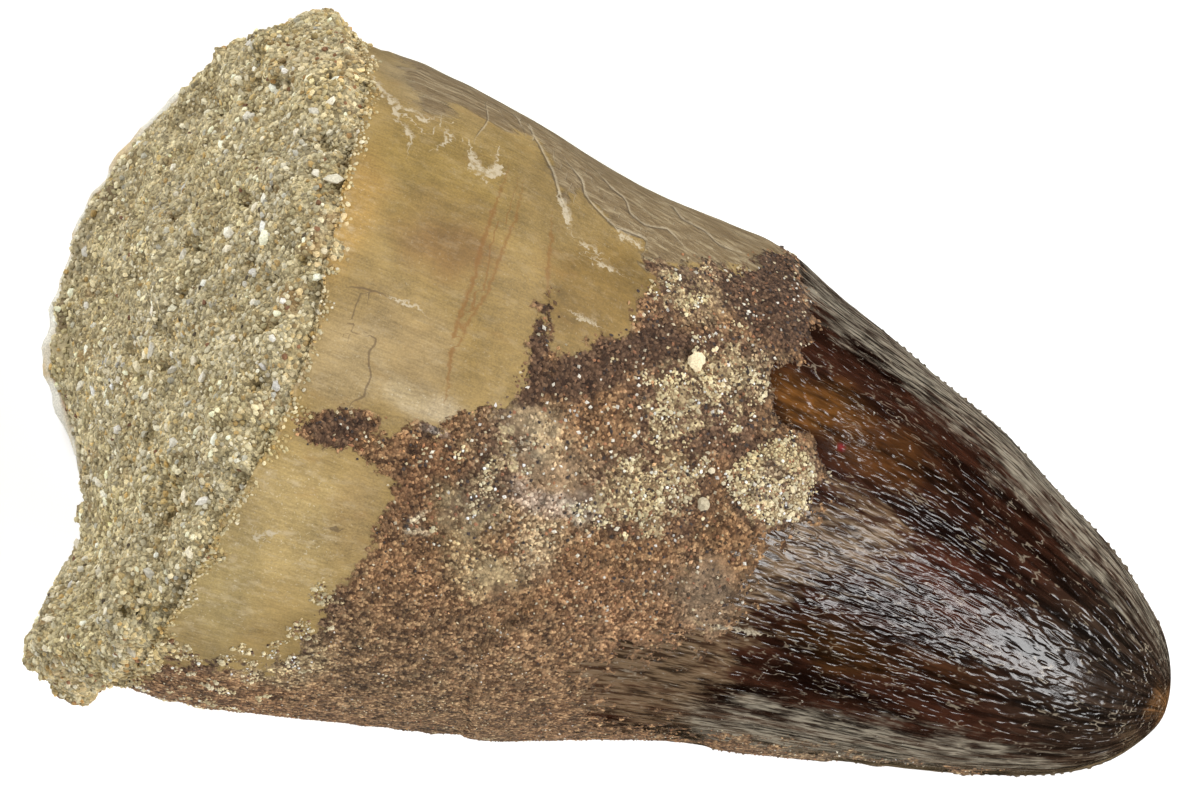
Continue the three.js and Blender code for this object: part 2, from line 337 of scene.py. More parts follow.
class Patch(Enum):
    """The finishes that lie over the crown, each with an outline of its own."""

    CRUST = "crust"
    ENAMEL = "enamel"
    LAVENDER = "lavender"
    FILM = "film"
    # The grey silky film on the flanks, painted pale to stand for their sheen as well.
    SILK = "silk"
    PURPLE = "purple"
    CREAM = "cream"
    SMEAR = "smear"


class Cover(Enum):
    """What a face of the crown shows, so that each face works out only its own finish."""

    MIXED = "mixed"
    DENTINE = "dentine"
    ENAMEL = "enamel"
    CRUST = "crust"
    CRUST_ON_DENTINE = "crust_on_dentine"
    CRUST_ON_ENAMEL = "crust_on_enamel"


class Thread(Enum):
    """The thin lines on the crown."""

    CRACK = "crack"
    STAIN = "stain"
    SCUFF = "scuff"
    LEDGE = "ledge"


# The closed outlines of each finish, corner by corner.
OUTLINES: dict[Patch, tuple[tuple[Place, ...], ...]] = {
    Patch.CRUST: ((
        (-18.7, -15.3), (-16.7, -14.5), (-13.9, -13.8), (-11.9, -12.1), (-11.6, -10.2), (-11.3, -8.2),
        (-10.6, -6.5), (-10.2, -3.9), (-10.7, -2.5), (-11.6, -2), (-13, -1.7), (-13.8, -2), (-14.7, -2),
        (-15.9, -1.7), (-16.2, -1.2), (-15.2, -0.8), (-14.5, -0.1), (-13.7, 0.4), (-13, 0.5), (-12, -0.1),
        (-11.3, 0.1), (-10.9, 0.5), (-10.3, 0.4), (-9.4, 0.3), (-8.8, 1.4), (-7.8, 2.8), (-6.5, 3.2),
        (-6.3, 4.8), (-6.4, 6.5), (-6.6, 8.7), (-6.4, 9.1), (-5.8, 8.5), (-5.7, 7.2), (-5.5, 6.1),
        (-4.7, 6.1), (-4.2, 7.3), (-2.2, 8.6), (-2, 10.4), (-1.4, 11.1), (-2.3, 12.3), (-0.3, 13), (2, 13.6),
        (4.4, 14.6), (6, 13.2), (6.7, 11.7), (6.6, 10.3), (5.5, 9.6), (5.9, 7.9), (6.6, 7.1), (8.4, 7.1),
        (9.6, 5.1), (9.3, 2.8), (7.8, 0.9), (7.9, -1.4), (8, -3.3), (6.4, -4.6), (5, -5.6), (2.8, -6.6),
        (1.8, -7.9), (3, -9.8), (7.7, -9.4), (11.3, -8.5), (15.7, -7.4), (19.2, -6.8), (23.1, -5.8),
        (24.5, -7), (0, -22), (-22, -23),
    ),),
    Patch.PURPLE: (
        ((-16.2, -1.2), (-15.2, -0.8), (-14.5, -0.1), (-13.8, 0.5), (-13, 0.5), (-12.2, 0),
         (-12.2, -0.6), (-12.8, -0.9), (-13.3, -1.7), (-13.7, -2), (-14.7, -2), (-15.1, -1.3),
         (-15.9, -1.7)),
        ((-6.6, 8.7), (-6.4, 9.2), (-5.9, 8.7), (-5.7, 7.2), (-5.5, 6.1), (-4.6, 6), (-5.2, 4.7),
         (-6.2, 3.8), (-6.4, 5.8), (-6.4, 6.5)),
        ((-4.1, 6.8), (-3.3, 7.8), (-2, 8.6), (-1.3, 9.6), (0.1, 9.7), (1.7, 9.8), (2.2, 9.4),
         (1.3, 8.6), (-0.5, 7.6), (-1.2, 6), (-2.7, 5), (-4.7, 4.1), (-5.8, 3.4), (-6.6, 2.7),
         (-7.2, 2.9), (-6.1, 4.1), (-5.2, 5.4)),
        ((0.9, 13), (2, 13.7), (4.5, 14.6), (6.2, 12.6), (6.8, 10.8), (5.4, 10.4), (4.1, 10.7),
         (2.7, 10.9), (2, 11.5), (1.2, 12.4)),
        ((3.9, 5.3), (5.3, 5.6), (6.8, 6.2), (6.7, 5.6), (5.2, 4.6), (4.2, 4.6)),
    ),
    Patch.CREAM: (
        ((-1.1, 8.3), (1, 9.6), (3, 10.6), (5.3, 10.4), (5.3, 9.4), (5.9, 7.9), (4.9, 6),
         (3.2, 4.8), (5, 2.3), (4.5, 0), (2.2, -1.1), (0.1, -1.1), (-1.8, -0.2), (-1, 1.7),
         (0.4, 3.8), (-0.3, 5.7), (-0.3, 7.3)),
        ((-2.7, 12.8), (-1.7, 12.5), (-0.4, 13.4), (1.6, 13.7), (1.7, 12.7), (0.6, 12.1), (1.8, 10.4),
         (0.8, 10.1), (-0.3, 9.8), (-1.3, 10.6), (-2.1, 11.7)),
        ((-18.7, -15.3), (-16.3, -13.8), (-14.5, -12.3), (-12.9, -10.9), (-12.1, -10),
         (-11.6, -8.6), (-10.9, -8.3), (-11, -10.2), (-11.7, -12), (-14.4, -13.9), (-17.1, -15.3)),
        ((-7.4, 1.8), (-6.1, 2.8), (-4.8, 1.9), (-4.7, 0.3), (-5.1, -1.4), (-6.2, -2.9), (-7.2, -3.8),
         (-7.7, -3.1), (-7.2, -1.6), (-7.2, 0.5)),
    ),
    Patch.FILM: ((
        (3.6, -3.5), (5.5, -1.5), (6.5, 1.8), (9, 3.7), (12.8, 4.9), (14.6, 3.7), (14.2, 2.4), (11.4, 0.5),
        (9.8, -1.4), (8.9, -3.4), (8.5, -4.9), (8.8, -6.2), (7.8, -8.6), (3, -10.8), (-2, -10.4),
        (-2.4, -7.4), (0.6, -5),
    ),),
    Patch.ENAMEL: ((
        (6.5, 19.3), (4.9, 14.9), (3.7, 12.7), (4.4, 11.3), (4.1, 10.3), (4.6, 7.9), (5.4, 6.6), (6.8, 5),
        (6.4, 1.6), (5.2, -0.5), (4.6, -3), (2, -4.4), (-1.2, -5.2), (-3.4, -8.3), (-3, -13), (6, -16),
        (40, -16), (40, 24),
    ),),
    Patch.LAVENDER: ((
        (-18.3, 18.3), (-17.5, 17.2), (-16.2, 16.5), (-15, 15.8), (-13.1, 16), (-11.5, 16), (-9.9, 16),
        (-8.9, 15.4), (-8.3, 15), (-7.5, 13.9), (-6.8, 13.2), (-6.9, 14.3), (-6.7, 15.1), (-5.6, 14.1),
        (-4.4, 13.5), (-2.7, 13.5), (-2.8, 12.8), (-2.1, 12.2), (0.2, 13.2), (3.2, 13.6), (4.9, 14.9),
        (6, 22), (-20, 22),
    ),),
    Patch.SILK: (
        ((4.5, 12.9), (5.6, 12.7), (11.3, 10.6), (17.5, 8.1), (22.8, 5.6), (27, 3.2), (31, 1),
         (31, 18), (5, 21)),
        ((6.2, -7.4), (9.8, -6.2), (15.4, -5), (22.4, -3.9), (27.5, -3), (31, -4), (24, -14),
         (7, -13)),
    ),
}

# The thin lines of each family: half their width and their points.
THREADS: dict[Thread, tuple[tuple[float, tuple[Place, ...]], ...]] = {
    Thread.CRACK: (
        (0.05, ((-15.9, 6.1), (-15.2, 6.3), (-14.8, 6.3), (-14.4, 6.4), (-13.9, 6.3))),
        (0.035, ((-15.2, 6.3), (-15.25, 5.4), (-15.2, 4.5), (-15, 4.2))),
        (0.05, ((-14.5, 4.3), (-14.2, 4.2), (-13.7, 4.1), (-13.7, 3.7), (-13.85, 3.3), (-13.6, 2.7),
                (-13.3, 2.2), (-13.35, 1.5), (-13.3, 1.1), (-13.8, 0.7), (-13.8, 0.2))),
        (0.035, ((-15.4, 4.3), (-15.1, 4.5), (-14.9, 4.2), (-15.1, 4), (-14.5, 4))),
        (0.2, ((-12.55, -5.7), (-12.2, -5.6))),
    ),
    Thread.STAIN: (
        (0.1, ((-10.4, 13.9), (-10.4, 11.6), (-10.3, 9.8), (-10.1, 8.1), (-10.2, 6.9), (-10.1, 5.6),
                (-9.8, 4.1), (-9.4, 2.6))),
        (0.07, ((-9.4, 13.4), (-9.2, 12), (-9.3, 10.1), (-9.3, 8.2), (-9.7, 6.2), (-9.7, 4.3))),
        (0.06, ((-7.4, 12.5), (-7, 10.9), (-6.5, 9.3))),
    ),
    Thread.SCUFF: (
        (0.16, ((-18.2, 16.3), (-17.6, 15.8), (-17.2, 15.6), (-16.7, 15.4), (-16.4, 14.7))),
        (0.11, ((-16.5, 15.3), (-16, 15.4), (-15.5, 15.3), (-15.1, 15.2), (-14.8, 15.4))),
        (0.1, ((-16.1, 14.6), (-15.5, 14.2), (-15.4, 13.7))),
        (0.1, ((-14.1, 14.2), (-13.8, 14.6), (-14, 15), (-13.6, 14.9))),
        (0.26, ((-12.5, 14.6), (-12.3, 14.2), (-11.9, 13.8), (-11.4, 13.6), (-10.9, 14),
                (-11.1, 14.6))),
        (0.06, ((-5.8, 12.2), (-4.6, 12))),
        (0.07, ((-5.1, 11.6), (-3.3, 11.3))),
        (0.07, ((-5.1, 8.7), (-3.4, 8.5))),
        (0.09, ((-13.9, 6.3), (-13.2, 6.4), (-12.4, 6.4), (-12, 6.2))),
        (0.16, ((-7.5, 13.9), (-6.8, 13.2), (-6.6, 12.8))),
        (0.12, ((-4.4, 13.5), (-3.6, 13.2), (-2.8, 13.1))),
        (0.1, ((6.9, -3.7), (8.1, -3.5), (9, -3.3), (9.7, -3.2))),
        (0.16, ((-15.6, -7), (-15.2, -6.8))),
        (0.14, ((-16, -7.3), (-15.8, -7.5))),
    ),
    Thread.LEDGE: (
        (0.08, ((-10.6, 17.4), (-9.8, 16.4), (-9, 15.6), (-8.3, 15), (-7.9, 14.4), (-7.5, 13.9),
                (-6.8, 13.2))),
        (0.08, ((-8, 15.9), (-7.2, 15.4), (-6.7, 15.1), (-6.4, 14.6), (-5.6, 14.1), (-5, 13.8),
                (-4.4, 13.5), (-2.7, 13.5), (-2.6, 12.9))),
        (0.07, ((-6.2, 16.1), (-5.2, 15.4), (-4.4, 15.1), (-3.9, 14.4), (-3, 14.1), (-1.9, 14.3),
                (-0.8, 13.7))),
        (0.07, ((-3.6, 16.2), (-2.2, 15.8), (-1.4, 15.1), (-0.2, 14.9), (0.7, 14.4), (2, 14.3))),
        (0.06, ((-14.6, 18.4), (-13.2, 17.9), (-12, 17.6), (-10.9, 17), (-10.2, 16.3))),
        (0.05, ((-12.6, 17.1), (-12.2, 16.2), (-12.5, 15.2))),
    ),
}

# How far the outline stands off the smooth form along the front and the back edge, over x.
EDGE_TRIMS = (
    (-16, 0, 0), (-10, -0.25, 0), (-5.5, -0.35, 0.1), (-1, -0.1, 0.35), (4, 0.5, 0.3),
    (8, -0.2, -0.1), (13, -0.45, -0.35), (19, -0.5, -0.4), (25, -0.4, -0.45), (29, -0.1, -0.2),
)
# A ring of cream grains: its middle and radius.
RING_CLUMP = (7.4, 4.1, 1.55)


@dataclass(frozen=True)
class Blot:
    """A soft patch of colour in plan: its middle, reach, colour and strength."""

    x: float
    y: float
    reach_x: float
    reach_y: float
    colour: Colour
    strength: float = 1.0


DENTINE_GROUND: Colour = (0.321, 0.216, 0.0738)
DENTINE_BLOTS = (
    Blot(-13.7, 12.5, 6, 4.5, (0.28, 0.185, 0.05)),
    Blot(-12, 9.6, 3.4, 1.7, (0.186, 0.0954, 0.0263), 0.75),
    Blot(-12.6, 11.4, 4, 1, (0.228, 0.138, 0.0405), 0.5),
    Blot(-17, 9.4, 1.6, 3.6, (0.42, 0.25, 0.065), 0.7),
    Blot(-12.4, 3.9, 4.5, 3.2, (0.333, 0.232, 0.101)),
    Blot(-14.8, 2.3, 2.4, 3, (0.364, 0.261, 0.12)),
    Blot(-4, 10, 3.8, 3.6, (0.212, 0.129, 0.031)),
    Blot(-7.4, 13.6, 3.2, 2.6, (0.242, 0.161, 0.054)),
    Blot(-8.2, 7, 2.6, 4, (0.288, 0.189, 0.0594)),
    Blot(-15, -6.6, 4.6, 4.6, (0.425, 0.305, 0.122)),
    Blot(-17.5, -10.5, 3, 4, (0.4, 0.295, 0.118)),
    Blot(-11.6, -4.9, 1.6, 3, (0.35, 0.235, 0.09), 0.7),
    Blot(-15.1, 17.3, 4, 1.8, (0.288, 0.212, 0.104)),
    Blot(-9.4, 1.8, 1.7, 1, (0.502, 0.396, 0.243), 0.8),
    Blot(-11.4, 2, 1.3, 0.8, (0.465, 0.359, 0.198), 0.7),
)
ENAMEL_GROUND: Colour = (0.022, 0.0075, 0.0038)
ENAMEL_BLOTS = (
    Blot(8, 8.4, 3.2, 1.4, (0.092, 0.036, 0.008)),
    Blot(12.2, 7.2, 3.4, 1.5, (0.048, 0.018, 0.005), 0.9),
    Blot(13.6, -2.4, 3.2, 1.5, (0.046, 0.018, 0.005)),
    Blot(18.6, -1.6, 3.2, 1.3, (0.034, 0.013, 0.005), 0.9),
    Blot(17.5, 2.6, 3.4, 1.9, (0.036, 0.011, 0.006), 0.8),
    Blot(10.2, 6.8, 0.26, 0.2, (0.13, 0.01, 0.016), 0.8),
    Blot(26.4, 0.4, 6.5, 6, (0.022, 0.0135, 0.0085), 0.9),
    Blot(29.7, 0.4, 0.7, 1.2, (0.15, 0.073, 0.027), 0.9),
    Blot(29, -2, 1, 0.8, (0.07, 0.045, 0.025), 0.6),
)
# Smooth cemented patches of the crust: middle and reach.
SMEARS = (
    (-5.1, 2.9, 1.9, 1.1), (-6.5, -2.7, 1.3, 2), (-4.2, -5.3, 1.5, 0.9), (-1.9, 0, 2.2, 0.8),
    (6.2, -2.4, 2.2, 2), (5.6, -6.8, 3, 1.3), (-3.6, 1.2, 1.8, 1), (-16, -13.9, 2, 0.8),
)
CRUST_GROUND: Colour = (0.22, 0.124, 0.059)
CRUST_BLOTS = (
    Blot(-8.6, -1.6, 2.2, 3.6, (0.16, 0.085, 0.041)),
    Blot(-2.7, 0.6, 5, 2.2, (0.33, 0.225, 0.13), 0.9),
    Blot(-6.4, -2.4, 1.7, 2.4, (0.37, 0.275, 0.14), 0.9),
    Blot(-5.1, 2.6, 2.4, 1.3, (0.41, 0.31, 0.18), 0.9),
    Blot(-4.4, -5.2, 2.4, 1.3, (0.36, 0.27, 0.145), 0.9),
    Blot(-2.6, -3, 1.6, 2.2, (0.38, 0.285, 0.17), 0.8),
    Blot(-3.4, -0.6, 2.4, 0.8, (0.4, 0.31, 0.24), 0.9),
    Blot(-1.2, -0.6, 0.9, 0.7, (0.55, 0.49, 0.38), 0.9),
    Blot(-5.6, 1.6, 1.3, 0.7, (0.5, 0.42, 0.28), 0.9),
    Blot(-9.1, 0.4, 0.7, 0.5, (0.34, 0.31, 0.28), 0.8),
    Blot(-5.9, -0.9, 1.7, 3.2, (0.33, 0.25, 0.145), 0.7),
    Blot(-8.7, -4.1, 0.6, 0.4, (0.62, 0.52, 0.36)),
    Blot(-3.8, -9.8, 0.5, 0.3, (0.62, 0.52, 0.38)),
    Blot(6, -2.7, 2.8, 2.4, (0.21, 0.145, 0.09), 0.9),
    Blot(2.2, -4.6, 4.6, 2.4, (0.245, 0.138, 0.07)),
    Blot(5.2, 5.3, 1.7, 1.2, (0.13, 0.075, 0.045), 0.9),
    Blot(0.4, 11.9, 2.6, 1.6, (0.42, 0.33, 0.19), 0.6),
    Blot(2.2, 6.4, 3.4, 3.4, (0.155, 0.092, 0.054), 0.8),
    Blot(4.6, 8.6, 1.6, 1.8, (0.42, 0.33, 0.19), 0.6),
    Blot(7.4, 4.1, 2, 2.1, (0.43, 0.345, 0.225), 0.8),
    Blot(1, 1.6, 2.6, 2, (0.3, 0.21, 0.125), 0.5),
    Blot(-8, -11.4, 9, 3.4, (0.19, 0.12, 0.062), 0.85),
    Blot(-2, -8.6, 7, 3, (0.205, 0.124, 0.064), 0.7),
    Blot(16, -7.6, 9, 1.6, (0.2, 0.135, 0.075)),
    Blot(-14, -12.2, 3.6, 2.2, (0.43, 0.34, 0.19), 0.9),
)


def depth_inside(corners: Sequence[Place], plan: Array) -> Array:
    """Measures how far places lie inside a closed outline.

    Args:
        corners: The outline's corners, in order.
        plan: Places in plan, one row each.

    Returns:
        The distance to the outline, negative outside it.
    """
    starts = np.array(corners, dtype=float)
    ends = np.roll(starts, -1, axis=0)
    nearest = np.full(len(plan), np.inf)
    inside = np.zeros(len(plan), dtype=bool)
    for start, end in zip(starts, ends):
        run = end - start
        along = np.clip((plan - start) @ run / max(run @ run, 1e-9), 0.0, 1.0)
        gap = plan - (start + along[:, None] * run)
        nearest = np.minimum(nearest, (gap * gap).sum(axis=1))
        if start[1] != end[1]:
            crosses = (start[1] > plan[:, 1]) != (end[1] > plan[:, 1])
            at_x = start[0] + run[0] * (plan[:, 1] - start[1]) / run[1]
            inside ^= crosses & (plan[:, 0] < at_x)
    return np.where(inside, 1.0, -1.0) * np.sqrt(nearest)


def thread_fields(lines: Sequence[tuple[float, Sequence[Place]]], plan: Array) -> tuple[Array, Array]:
    """Measures places against a family of thin lines.

    Args:
        lines: Each line's half width and its points.
        plan: Places in plan, one row each.

    Returns:
        The distance to the nearest line, negative on its other side, and the line's half width
        there, which thins out towards the line's ends and is negative away from it.
    """
    nearest = np.full(len(plan), 9.0)
    side = np.full(len(plan), 9.0)
    width = np.full(len(plan), -1.0)
    for half, points in lines:
        steps = np.array(points, dtype=float)
        runs = np.diff(steps, axis=0)
        lengths = np.hypot(*runs.T)
        total = lengths.sum()
        done = 0.0
        for start, run, length in zip(steps[:-1], runs, lengths):
            along = np.clip((plan - start) @ run / (length * length), 0.0, 1.0)
            gap = plan - (start + along[:, None] * run)
            distance = np.hypot(*gap.T)
            closer = distance < nearest
            turn = np.sign(run[0] * gap[:, 1] - run[1] * gap[:, 0])
            share = (done + along * length) / total
            thin = half * np.clip(np.minimum(share, 1.0 - share) * 6.0, 0.25, 1.0)
            nearest = np.where(closer, distance, nearest)
            side = np.where(closer, distance * turn, side)
            width = np.where(closer, np.where(distance < 0.7, thin, -1.0), width)
            done += length
    return side, width


def painted(ground: Colour, blots: Sequence[Blot], plan: Array) -> Array:
    """Paints soft patches of colour over a ground colour.

    Args:
        ground: The colour where there is no patch.
        blots: The patches, the later over the earlier.
        plan: Places in plan, one row each.

    Returns:
        One row of red, green and blue for each place.
    """
    colour = np.tile(np.array(ground), (len(plan), 1))
    for blot in blots:
        reach = np.hypot((plan[:, 0] - blot.x) / blot.reach_x, (plan[:, 1] - blot.y) / blot.reach_y)
        amount = blot.strength * (1.0 - ease(reach, 0.35, 1.25))
        colour = blend(colour, blot.colour, amount[:, None])
    return colour


# ---- Meshes from arrays ----

def clear_selection() -> None:
    """Deselects everything, so that an operator acts on new work alone."""
    bpy.ops.object.select_all(action="DESELECT")


def select_only(thing: Object) -> None:
    """Selects one object and makes it the active one."""
    clear_selection()
    thing.select_set(True)
    bpy.context.view_layer.objects.active = thing


def read_points(mesh: Mesh) -> Array:
    """Returns a mesh's vertices, one row each."""
    flat = np.empty(len(mesh.vertices) * 3)
    mesh.vertices.foreach_get("co", flat)
    return flat.reshape(-1, 3)


def read_normals(mesh: Mesh) -> Array:
    """Returns a mesh's vertex normals, one row each."""
    flat = np.empty(len(mesh.vertices) * 3)
    mesh.vertices.foreach_get("normal", flat)
    return flat.reshape(-1, 3)


def move_points(mesh: Mesh, points: Array) -> None:
    """Moves a mesh's vertices to new places."""
    mesh.vertices.foreach_set("co", points.astype(np.float32).ravel())
    mesh.update()


def read_triangles(mesh: Mesh) -> Array:
    """Returns a mesh's triangles as rows of vertex numbers."""
    mesh.calc_loop_triangles()
    flat = np.empty(len(mesh.loop_triangles) * 3, dtype=np.int32)
    mesh.loop_triangles.foreach_get("vertices", flat)
    return flat.reshape(-1, 3)


# How a mesh stores numbers, vectors and colours, by how many parts each has.
STORES = {1: ("FLOAT", "value"), 3: ("FLOAT_VECTOR", "vector"), 4: ("FLOAT_COLOR", "color")}


def store(mesh: Mesh, name: str, values: Array) -> None:
    """Stores a number, or a row of three or four, for each vertex under a name."""
    kind, part = STORES[values.size // len(values)]
    mesh.attributes.new(name, kind, "POINT").data.foreach_set(part, values.astype(np.float32).ravel())


def store_colour(mesh: Mesh, name: str, colours: Array) -> None:
    """Stores one colour for each vertex under a name."""
    store(mesh, name, np.concatenate([colours, np.ones((len(colours), 1))], axis=1))


def read_stored(mesh: Mesh, name: str, parts: int = 1) -> Array:
    """Reads what a mesh stores for each vertex under a name."""
    flat = np.empty(len(mesh.vertices) * parts, dtype=np.float32)
    mesh.attributes[name].data.foreach_get(STORES[parts][1], flat)
    return flat if parts == 1 else flat.reshape(-1, parts)


def mesh_from(name: str, points: Array, triangles: Array) -> Object:
    """Makes an object of flat triangles.

    Args:
        name: The object's name.
        points: Vertices in metres, one row each.
        triangles: Rows of three vertex numbers.

    Returns:
        The new object, at the origin.
    """
    mesh = bpy.data.meshes.new(name)
    count = len(triangles)
    mesh.vertices.add(len(points))
    mesh.loops.add(count * 3)
    mesh.polygons.add(count)
    mesh.vertices.foreach_set("co", points.astype(np.float32).ravel())
    mesh.loops.foreach_set("vertex_index", triangles.astype(np.int32).ravel())
    mesh.polygons.foreach_set("loop_start", np.arange(count, dtype=np.int32) * 3)
    mesh.polygons.foreach_set("use_smooth", np.zeros(count, dtype=bool))
    mesh.update(calc_edges=True)
    thing = bpy.data.objects.new(name, mesh)
    bpy.context.scene.collection.objects.link(thing)
    return thing


# ---- Materials ----

class Web:
    """A material's nodes, built up by short calls."""

    def __init__(self, name: str) -> None:
        """Starts a material with only its shader and output."""
        self.material = bpy.data.materials.new(name)
        self.material.use_nodes = True
        self.tree = self.material.node_tree
        self.shader = self.tree.nodes["Principled BSDF"]
        place = self.node("TexCoord", {}).outputs["Object"]
        self.space = self.node("Mapping", {"Vector": place, "Scale": (1.0 / MM,) * 3}).outputs["Vector"]

    def feed(self, target: Socket, value: Socket | float | Sequence[float]) -> None:
        """Links a socket into another, or sets its value."""
        if isinstance(value, Socket):
            self.tree.links.new(value, target)
        else:
            target.default_value = (*value, 1.0) if target.type == "RGBA" else value

    def node(self, kind: str, inputs: dict[str | int, Socket | float | Sequence[float]],
             **settings: str) -> Node:
        """Adds a node.

        Args:
            kind: Its kind, such as TexNoise.
            inputs: What goes into its inputs, by their names or places.
            settings: Its own settings.

        Returns:
            The node.
        """
        node = self.tree.nodes.new(f"ShaderNode{kind}")
        for name, value in settings.items():
            setattr(node, name, value)
        for name, value in inputs.items():
            self.feed(node.inputs[name], value)
        return node

    def sum(self, kind: str, first: Socket | float, second: Socket | float = 0.0) -> Socket:
        """Does one sum.

        Args:
            kind: The name of the operation, such as SUBTRACT.
            first: Its first number.
            second: Its second number, where it takes one.

        Returns:
            The result.
        """
        return self.node("Math", {0: first, 1: second}, operation=kind).outputs[0]

    def plus(self, *terms: Socket | float) -> Socket:
        """Adds numbers."""
        return reduce(partial(self.sum, "ADD"), terms)

    def times(self, *factors: Socket | float) -> Socket:
        """Multiplies numbers."""
        return reduce(partial(self.sum, "MULTIPLY"), factors)

    def step(self, value: Socket, start: float, end: float, low: float = 0.0,
             high: float = 1.0) -> Socket:
        """Eases from low to high as a value goes from start to end."""
        node = self.node("MapRange", {
            "Value": value, "From Min": start, "From Max": end, "To Min": low, "To Max": high,
        }, interpolation_type="SMOOTHSTEP")
        return node.outputs["Result"]

    def stored(self, name: str, kind: str = "Fac") -> Socket:
        """Reads a number that the mesh stores for each vertex, or its Color or Vector."""
        return self.node("Attribute", {}, attribute_name=name).outputs[kind]

    def stretched(self, space: Socket, along: float, across: float = 1.0) -> Socket:
        """Scales a space by one amount along the tooth and by another across it."""
        return self.node("Mapping", {"Vector": space, "Scale": (along, across, across)}).outputs["Vector"]

    def noise(self, space: Socket, pitch: float, detail: float = 2.0, rough: float = 0.5,
              bend: float = 0.0) -> Socket:
        """Makes cloudy noise.

        Args:
            space: Where it is read, in millimetres.
            pitch: Size of its broadest swells, in millimetres.
            detail: How many finer layers it has.
            rough: How strong the finer layers are.
            bend: How far it is warped by itself.

        Returns:
            A number from about 0.2 to 0.8.
        """
        node = self.node("TexNoise", {
            "Vector": space, "Scale": 1.0 / pitch, "Detail": detail, "Roughness": rough, "Distortion": bend,
        })
        return node.outputs["Fac"]

    def cells(self, space: Socket, pitch: float) -> tuple[Socket, Socket]:
        """Makes packed cells, and returns the distance to each cell's middle and its own colour."""
        node = self.node("TexVoronoi", {"Vector": space, "Scale": 1.0 / pitch})
        return node.outputs["Distance"], node.outputs["Color"]

    def red(self, colour: Socket) -> Socket:
        """Returns the red part of a colour."""
        return self.node("SeparateColor", {0: colour}).outputs[0]

    def mix(self, share: Socket | float, under: Socket | Colour, over: Socket | Colour,
            kind: str = "MIX") -> Socket:
        """Mixes two colours.

        Args:
            share: How much of the second shows.
            under: The first colour.
            over: The second colour.
            kind: How they mix.

        Returns:
            The mixed colour.
        """
        inputs = {0: share, 6: under, 7: over}
        return self.node("Mix", inputs, data_type="RGBA", blend_type=kind).outputs[2]

    def lerp(self, share: Socket, under: Socket | float, over: Socket | float) -> Socket:
        """Mixes two numbers."""
        return self.node("Mix", {0: share, 2: under, 3: over}, data_type="FLOAT").outputs[0]

    def ramp(self, value: Socket, stops: Sequence[tuple[float, Colour]]) -> Socket:
        """Turns a number into a colour.

        Args:
            value: The number, from 0 to 1.
            stops: Places along it and their colours.

        Returns:
            The colour.
        """
        node = self.node("ValToRGB", {"Fac": value})
        band = node.color_ramp
        while len(band.elements) < len(stops):
            band.elements.new(1.0)
        for element, (place, colour) in zip(band.elements, stops):
            element.position = place
            element.color = (*colour, 1.0)
        return node.outputs["Color"]

    def shade(self, colour: Socket, amount: Socket) -> Socket:
        """Multiplies a colour by a number."""
        return self.node("VectorMath", {0: colour, "Scale": amount}, operation="SCALE").outputs[0]

    def bump(self, height: Socket) -> None:
        """Raises the surface by a height in millimetres."""
        node = self.node("Bump", {"Strength": 1.0, "Distance": MM, "Height": height})
        self.feed(self.shader.inputs["Normal"], node.outputs["Normal"])

    def finish(self, colour: Socket | Colour, roughness: Socket | float, specular: float) -> Material:
        """Feeds the shader and returns the material."""
        self.feed(self.shader.inputs["Base Color"], colour)
        self.feed(self.shader.inputs["Roughness"], roughness)
        self.feed(self.shader.inputs["Specular IOR Level"], specular)
        return self.material


